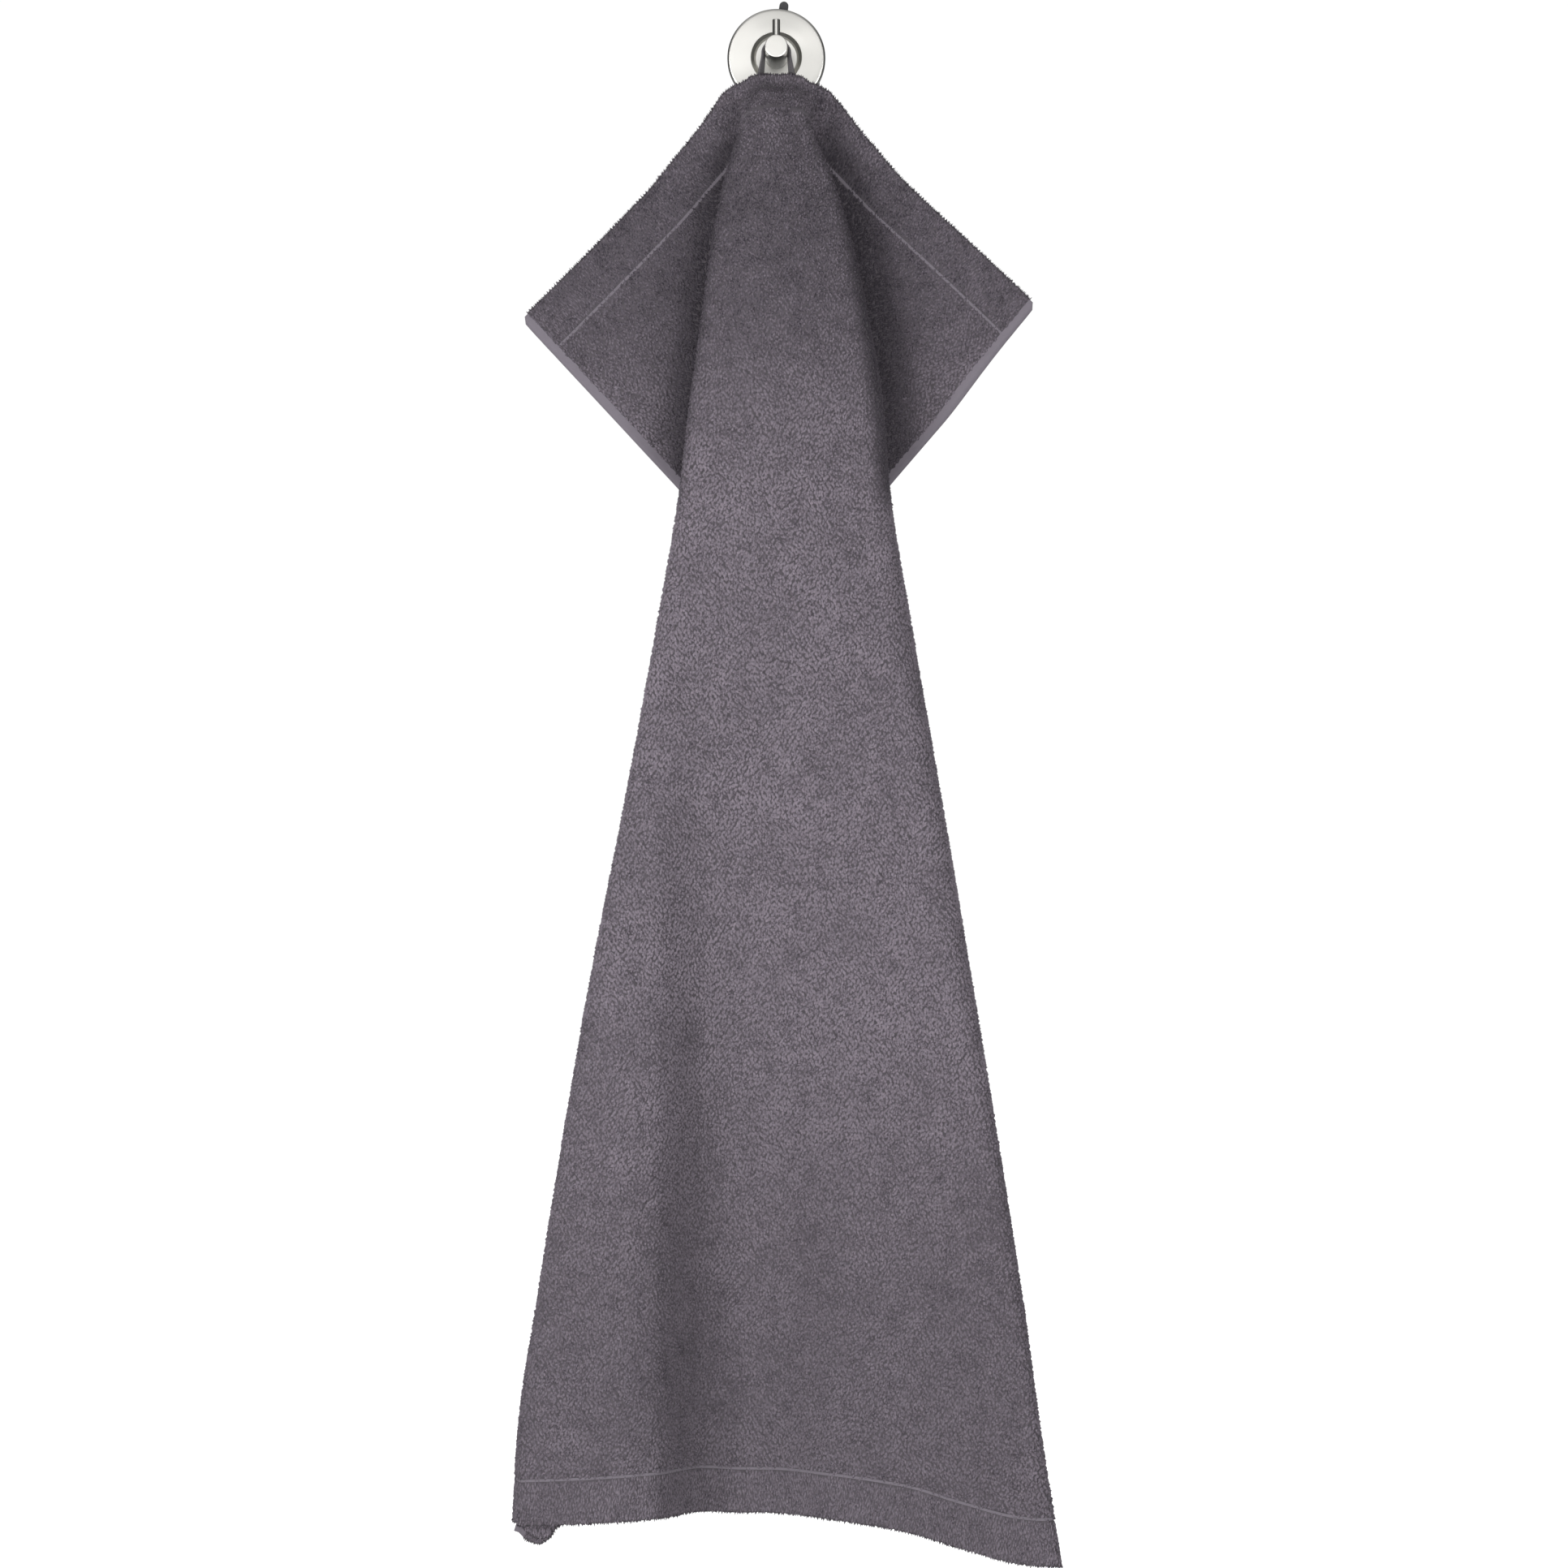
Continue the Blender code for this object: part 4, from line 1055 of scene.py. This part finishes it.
def make_tape(mat):
    """The hanging loop: flat on the hem's back, a quarter turn, and edge-on over the peg."""
    profile = ((1, 0.3), (0.94, 0.85), (0.8, 1), (0, 1), (-0.8, 1), (-0.94, 0.85), (-1, 0.3))
    profile = profile + tuple((-a, -b) for a, b in profile)
    path = tape_path()
    bm = bmesh.new()
    layer = bm.loops.layers.uv.new("tape")
    run = 0.0
    rings = []
    for k, (place, width) in enumerate(path):
        before = path[max(k - 1, 0)][0]
        after = path[min(k + 1, len(path) - 1)][0]
        along = (after - before).normalized()
        width = (width - along * width.dot(along)).normalized()
        normal = along.cross(width).normalized()
        run += (place - before).length
        ring = []
        for a, b in profile:
            corner = place + width * (a * TAPE_WIDTH / 2) + normal * (b * TAPE_THICKNESS / 2)
            ring.append((bm.verts.new(corner * MM), (a * TAPE_WIDTH / 2 * MM, run * MM)))
        rings.append(ring)
    steps = len(profile)
    for one, two in zip(rings, rings[1:]):
        for k in range(steps):
            m = (k + 1) % steps
            corners = (one[k], one[m], two[m], two[k])
            face = bm.faces.new([vert for vert, _ in corners])
            for loop, (_, uv) in zip(face.loops, corners):
                loop[layer].uv = uv
    bm.faces.new([vert for vert, _ in rings[0]][::-1])
    bm.faces.new([vert for vert, _ in rings[-1]])
    return from_bmesh("tape_loop", bm, mat)


def arc(cx, cy, radius, start, end, steps):
    """Points of an arc in a turned profile, angles in degrees."""
    angles = np.radians(np.linspace(start, end, steps))
    return [(cx + radius * math.cos(t), cy + radius * math.sin(t)) for t in angles]


def turned(name, profile, mat, axis_y=True, steps=96):
    """Spins a profile of (radius, place along the axis) points about the hook's axis or the pin's."""
    bm = bmesh.new()
    centre = (0.0, 0.0, 0.0) if axis_y else (0.0, PIN_Y * MM, 0.0)
    verts = []
    for radius, along in profile:
        place = (radius * MM, along * MM, 0.0) if axis_y else (radius * MM, PIN_Y * MM, along * MM)
        verts.append(bm.verts.new(place))
    edges = [bm.edges.new(pair) for pair in zip(verts, verts[1:])]
    bmesh.ops.spin(
        bm, geom=verts + edges, cent=centre, axis=(0, 1, 0) if axis_y else (0, 0, 1),
        angle=2 * math.pi, steps=steps, use_merge=True,
    )
    bmesh.ops.remove_doubles(bm, verts=bm.verts, dist=0.00001)
    return from_bmesh(name, bm, mat)


def make_cover(mat):
    """The pressed cover with its rolled rim and the round recess for the peg."""
    rim = 2.2
    inner = COVER_RADIUS - COVER_WALL
    profile = [(0.0, RECESS_FLOOR_Y)]
    profile += arc(RECESS_FLOOR_RADIUS - 0.6, RECESS_FLOOR_Y - 0.6, 0.6, 90, 30, 5)
    profile += arc(RECESS_RADIUS + 0.5, COVER_CROWN_Y + 0.55, 0.6, 200, 275, 6)
    profile += [(24.0, COVER_CROWN_Y + 0.16), (28.5, COVER_FACE_Y - 0.12)]
    profile += arc(COVER_RADIUS - rim, COVER_FACE_Y + rim, rim, -86, 0, 10)
    profile += [(COVER_RADIUS, COVER_BACK_Y), (inner, COVER_BACK_Y), (inner, COVER_FACE_Y + rim)]
    profile += [(COVER_RADIUS - rim, COVER_FACE_Y + COVER_WALL)]
    profile += [(RECESS_RADIUS + 0.4, COVER_CROWN_Y + COVER_WALL)]
    profile += [(RECESS_FLOOR_RADIUS + 0.6, RECESS_FLOOR_Y + COVER_WALL), (0.0, RECESS_FLOOR_Y + COVER_WALL)]
    return turned("steel_cover", profile, mat, steps=128)


def make_peg(mat):
    """The round bar with a softened rim at its tip."""
    base = RECESS_FLOOR_Y - GAP
    rim = 0.7
    profile = [(0.0, base), (PEG_RADIUS, base), (PEG_RADIUS, -26.0)]
    profile += arc(PEG_RADIUS - rim, PEG_TIP_Y + rim, rim, 0, -90, 7)
    profile += [(3.0, PEG_TIP_Y - 0.05), (0.0, PEG_TIP_Y - 0.08)]
    return turned("steel_peg", profile, mat, steps=80)


def make_pin(mat):
    """The short polished pin on the peg."""
    rim = 0.45
    foot = math.sqrt(PEG_RADIUS ** 2 - PIN_RADIUS ** 2) - 0.3
    profile = [(0.0, foot), (PIN_RADIUS, foot)]
    profile += arc(PIN_RADIUS - rim, PIN_TOP_Z - rim, rim, 0, 90, 6)
    profile += [(0.0, PIN_TOP_Z)]
    return turned("polished_pin", profile, mat, axis_y=False, steps=48)


def make_cup(mat):
    """The rubber plate behind the cover with its pull tab."""
    half = TAB_WIDTH / 2
    start = math.asin(half / CUP_RADIUS)
    outline = []
    for k in range(97):
        angle = start + (2 * math.pi - 2 * start) * k / 96
        outline.append((CUP_RADIUS * math.sin(angle), CUP_RADIUS * math.cos(angle)))
    for k in range(13):
        angle = math.pi - math.pi * k / 12
        outline.append((half * math.cos(angle), TAB_REACH - half + half * math.sin(angle)))
    bm = bmesh.new()
    back = []
    for x, z in outline:
        px = x * math.cos(TAB_TURN) + z * math.sin(TAB_TURN)
        pz = z * math.cos(TAB_TURN) - x * math.sin(TAB_TURN)
        back.append(bm.verts.new((px * MM, 0.0, pz * MM)))
    plate = bm.faces.new(back)
    raised = bmesh.ops.extrude_face_region(bm, geom=[plate])["geom"]
    lifted = [item for item in raised if isinstance(item, bmesh.types.BMVert)]
    bmesh.ops.translate(bm, verts=lifted, vec=(0.0, -CUP_PLATE * MM, 0.0))
    top = [item for item in raised if isinstance(item, bmesh.types.BMFace)]
    rim = {edge for face in top for edge in face.edges}
    bmesh.ops.bevel(
        bm, geom=list(rim), offset=0.5 * MM, segments=3, profile=0.5, affect="EDGES", material=-1
    )
    return from_bmesh("rubber_cup", bm, mat)


# Settings, operators and panel


class TowelClothSettings(bpy.types.PropertyGroup):
    sheet_thickness: FloatProperty(
        name="Ground thickness", description="Thickness of the ground weave under the loops",
        default=0.0010, min=0.0005, max=0.003, unit="LENGTH",
    )
    selvedge_thickness: FloatProperty(
        name="Selvedge thickness", description="Thickness of the flat woven edges",
        default=0.0010, min=0.0004, max=0.003, unit="LENGTH",
    )
    pile_height: FloatProperty(
        name="Pile height", description="Height of the loops above the ground weave",
        default=0.00115, min=0.0003, max=0.003, unit="LENGTH",
    )
    loop_pitch: FloatProperty(
        name="Loop pitch", description="Distance between loops across the front of the cloth",
        default=0.0016, min=0.0014, max=0.006, unit="LENGTH",
    )
    tip_colour: FloatVectorProperty(
        name="Loop tips", description="Colour of the loops at their tips",
        subtype="COLOR", size=4, default=(0.240, 0.212, 0.240, 1.0), min=0.0, max=1.0,
    )
    # Painted shade at the loops' roots and on the ground weave between them
    root_shade_colour: FloatVectorProperty(
        name="Loop roots", description="Colour between the loops",
        subtype="COLOR", size=4, default=(0.028, 0.025, 0.030, 1.0), min=0.0, max=1.0,
    )
    selvedge_colour: FloatVectorProperty(
        name="Selvedge", description="Colour of the flat woven edges and lines",
        subtype="COLOR", size=4, default=(0.178, 0.160, 0.186, 1.0), min=0.0, max=1.0,
    )
    tape_colour: FloatVectorProperty(
        name="Tape", description="Colour of the hanging tape",
        subtype="COLOR", size=4, default=(0.130, 0.122, 0.130, 1.0), min=0.0, max=1.0,
    )
    seed: IntProperty(name="Seed", description="Start of the scatter of the loops", default=5, min=0, max=999)


class TowelHookSettings(bpy.types.PropertyGroup):
    steel_colour: FloatVectorProperty(
        name="Steel", description="Colour of the satin steel",
        subtype="COLOR", size=4, default=(0.68, 0.67, 0.64, 1.0), min=0.0, max=1.0,
    )
    # Painted shade and reflection of the steel, on the recess wall, the rim, the peg's underside and the
    # pin's sides
    shaded_steel_colour: FloatVectorProperty(
        name="Groove", description="Colour of the recess's wall where it looks down and sideways",
        subtype="COLOR", size=4, default=(0.25, 0.25, 0.24, 1.0), min=0.0, max=1.0,
    )
    rubber_colour: FloatVectorProperty(
        name="Rubber", description="Colour of the suction cup",
        subtype="COLOR", size=4, default=(0.05, 0.05, 0.052, 1.0), min=0.0, max=1.0,
    )
    satin_roughness: FloatProperty(
        name="Satin roughness", description="Roughness of the satin steel",
        default=0.34, min=0.05, max=1.0, subtype="FACTOR",
    )


class TowelStageSettings(bpy.types.PropertyGroup):
    floor_colour: FloatVectorProperty(
        name="Floor", description="Colour of the studio floor",
        subtype="COLOR", size=4, default=(0.92, 0.92, 0.92, 1.0), min=0.0, max=1.0,
    )
    floor_drop: FloatProperty(
        name="Floor drop", description="Height of the hook above the floor",
        default=1.5, min=1.1, max=3.0, unit="LENGTH",
    )
    key_power: FloatProperty(
        name="Light power", description="Power that the soft boxes share", default=43.0, min=0.0, max=1000.0
    )
    room_light: FloatProperty(
        name="Room light", description="Strength of the light from all round", default=0.34, min=0.0, max=5.0
    )


class TOWEL_OT_sheet(bpy.types.Operator):
    """Makes the ground sheet with its selvedges, on the folds in which it hangs"""

    bl_idname = "towel_hook.sheet"
    bl_label = "Terry sheet"

    def execute(self, context):
        settings = context.scene.towel_cloth
        link_piece(make_sheet(settings, woven_material(settings)), ["towel"])
        return {"FINISHED"}


class TOWEL_OT_pile(bpy.types.Operator):
    bl_idname = "towel_hook.pile"
    bl_label = "Terry pile"

    def execute(self, context):
        settings = context.scene.towel_cloth
        mat = pile_material(settings)
        first, last = LINE_END + 0.2, TOWEL_LENGTH - LINE_END - 0.2
        pitch = (settings.loop_pitch / MM, FRONT_ROW_PITCH)
        thirds = np.linspace(first, last, 4)
        halves = np.linspace(first, last, 3)
        pieces = []
        for k, name in enumerate(("pile_front_top", "pile_front_middle", "pile_front_bottom")):
            pieces.append(pile_piece(
                name, settings.seed + k, (1,), thirds[k:k + 2], pitch, *FRONT_LOOPS, MAIN_TONES, settings, mat
            ))
        for k, name in enumerate(("pile_back_top", "pile_back_bottom")):
            pieces.append(pile_piece(
                name, settings.seed + 10 + k, (-1,), halves[k:k + 2], *BACK_LOOPS, MAIN_TONES, settings, mat
            ))
        near, far = 0.6, LINE_START - 1.2
        ends = ((near, far, 0.0), (TOWEL_LENGTH - far, TOWEL_LENGTH - near, TOWEL_LENGTH))
        for k, (name, (start, stop, end)) in enumerate(zip(("border_top", "border_bottom"), ends)):
            pieces.append(pile_piece(
                name, settings.seed + 20 + k, (1, -1), (start, stop), *BORDER_LOOPS, BORDER_TONES,
                settings, mat, (end,),
            ))
        for obj in pieces:
            link_piece(obj)
        return {"FINISHED"}


class TOWEL_OT_tape(bpy.types.Operator):
    """Makes the sewn tape loop that hangs over the peg"""

    bl_idname = "towel_hook.tape"
    bl_label = "Tape loop"

    def execute(self, context):
        link_piece(make_tape(tape_material(context.scene.towel_cloth)), ["hanger_loop"])
        return {"FINISHED"}


class TOWEL_OT_hook(bpy.types.Operator):
    """Makes the steel cover, peg and pin and the rubber cup"""

    bl_idname = "towel_hook.hook"
    bl_label = "Suction hook"

    def execute(self, context):
        settings = context.scene.towel_hook
        satin = turned_steel(settings, "satin_cover", settings.satin_roughness, 0.6, painted_reflections=True)
        bar = turned_steel(settings, "satin_bar", settings.satin_roughness, 0.2, underside=PEG_UNDERSIDE)
        bright = turned_steel(settings, "polished_steel", 0.14, 0.0, round_sides=PIN_SIDES)
        link_piece(make_cover(satin), ["hook_cover"])
        link_piece(make_peg(bar), ["hook_peg"])
        link_piece(make_pin(bright), ["peg_pin"])
        link_piece(make_cup(rubber_material(settings)), ["suction_cup"])
        return {"FINISHED"}


# Soft boxes: name, place, what it looks at, size and share of the key's power
LIGHTS = (
    ("front_light", (-0.2, -3.3, 0.75), (0.0, 0.0, -0.3), (2.2, 1.8), 0.36),
    ("left_light", (-1.25, -1.5, -0.62), (0.0, 0.0, -0.6), (0.9, 1.0), 0.72),
    ("right_light", (1.1, -1.7, -0.66), (0.0, 0.0, -0.6), (0.9, 1.0), 0.50),
    ("top_light", (-0.3, -1.1, 1.7), (0.0, 0.0, -0.4), (2.4, 1.6), 0.12),
)


def add_light(name, place, target, size, power):
    """A soft rectangular light that looks at a point."""
    light = bpy.data.lights.new(name, "AREA")
    light.shape = "RECTANGLE"
    light.size, light.size_y = size
    light.energy = power
    obj = bpy.data.objects.new(name, light)
    obj.location = place
    obj.rotation_euler = (Vector(target) - Vector(place)).to_track_quat("-Z", "Y").to_euler()
    obj.visible_camera = False
    bpy.context.scene.collection.objects.link(obj)


class TOWEL_OT_stage(bpy.types.Operator):
    """Sets the pale floor, the soft light and the camera"""

    bl_idname = "towel_hook.stage"
    bl_label = "Studio stage"

    def execute(self, context):
        scene = context.scene
        settings = scene.towel_stage
        mat, tree, shader = new_material("pale_floor", Roughness=0.9)
        cloud = noise(tree, object_place(tree), 2.0, 2.0, 0.5)
        dim = [c * 0.985 for c in settings.floor_colour]
        tree.links.new(mix_colour(tree, cloud, dim, settings.floor_colour), shader.inputs["Base Color"])
        shader.inputs["Emission Color"].default_value = (1.0, 1.0, 1.0, 1.0)
        shader.inputs["Emission Strength"].default_value = FLOOR_GLOW
        bm = bmesh.new()
        bmesh.ops.create_grid(bm, x_segments=8, y_segments=8, size=FLOOR_HALF_SIZE)
        bmesh.ops.translate(bm, verts=bm.verts, vec=(0.0, 0.0, -settings.floor_drop))
        floor = from_bmesh("studio_floor", bm, mat)
        scene.collection.objects.link(floor)
        floor.visible_diffuse = False

        for name, place, target, size, share in LIGHTS:
            add_light(name, place, target, size, settings.key_power * share)

        world = bpy.data.worlds.new("studio_air")
        scene.world = world
        world.use_nodes = True
        air = world.node_tree
        back = air.nodes["Background"]
        back.inputs["Color"].default_value = (1.0, 1.0, 1.0, 1.0)
        seen = air.nodes.new("ShaderNodeLightPath").outputs["Is Camera Ray"]
        lift = math_node(air, "MULTIPLY_ADD", seen, BACKDROP - settings.room_light, settings.room_light)
        air.links.new(lift, back.inputs["Strength"])

        camera = bpy.data.cameras.new("front_camera")
        camera.lens = CAMERA_LENS
        camera.sensor_width = CAMERA_SENSOR
        camera.clip_end = 60.0
        view = bpy.data.objects.new("front_camera", camera)
        view.location = CAMERA_PLACE
        view.rotation_euler = (math.radians(90.0), 0.0, 0.0)
        scene.collection.objects.link(view)
        scene.camera = view
        scene.view_settings.view_transform = "Standard"
        scene.view_settings.look = "None"
        return {"FINISHED"}


class TOWEL_PT_panel(bpy.types.Panel):
    """Sizes and colours of the towel, the hook and the stage"""

    bl_idname = "TOWEL_PT_panel"
    bl_label = "Hand towel on a hook"
    bl_space_type = "VIEW_3D"
    bl_region_type = "UI"
    bl_category = "Towel"

    def draw(self, context):
        for title, group, operators in PANEL_PARTS:
            box = self.layout.box()
            box.label(text=title)
            settings = getattr(context.scene, group)
            for name in settings.bl_rna.properties.keys():
                if name not in ("rna_type", "name"):
                    box.prop(settings, name)
            for operator in operators:
                box.operator(operator)


PANEL_PARTS = (
    ("Towel", "towel_cloth", ("towel_hook.sheet", "towel_hook.pile", "towel_hook.tape")),
    ("Hook", "towel_hook", ("towel_hook.hook",)),
    ("Stage", "towel_stage", ("towel_hook.stage",)),
)
GROUPS = {
    "towel_cloth": TowelClothSettings,
    "towel_hook": TowelHookSettings,
    "towel_stage": TowelStageSettings,
}
CLASSES = (
    *GROUPS.values(),
    TOWEL_OT_sheet,
    TOWEL_OT_pile,
    TOWEL_OT_tape,
    TOWEL_OT_hook,
    TOWEL_OT_stage,
    TOWEL_PT_panel,
)


def register():
    for cls in CLASSES:
        bpy.utils.register_class(cls)
    for name, group in GROUPS.items():
        setattr(bpy.types.Scene, name, PointerProperty(type=group))


def unregister():
    for name in GROUPS:
        delattr(bpy.types.Scene, name)
    for cls in reversed(CLASSES):
        bpy.utils.unregister_class(cls)


def main():
    register()
    bpy.ops.towel_hook.sheet()
    bpy.ops.towel_hook.pile()
    bpy.ops.towel_hook.tape()
    bpy.ops.towel_hook.hook()
    bpy.ops.towel_hook.stage()


if __name__ == "__main__":
    main()
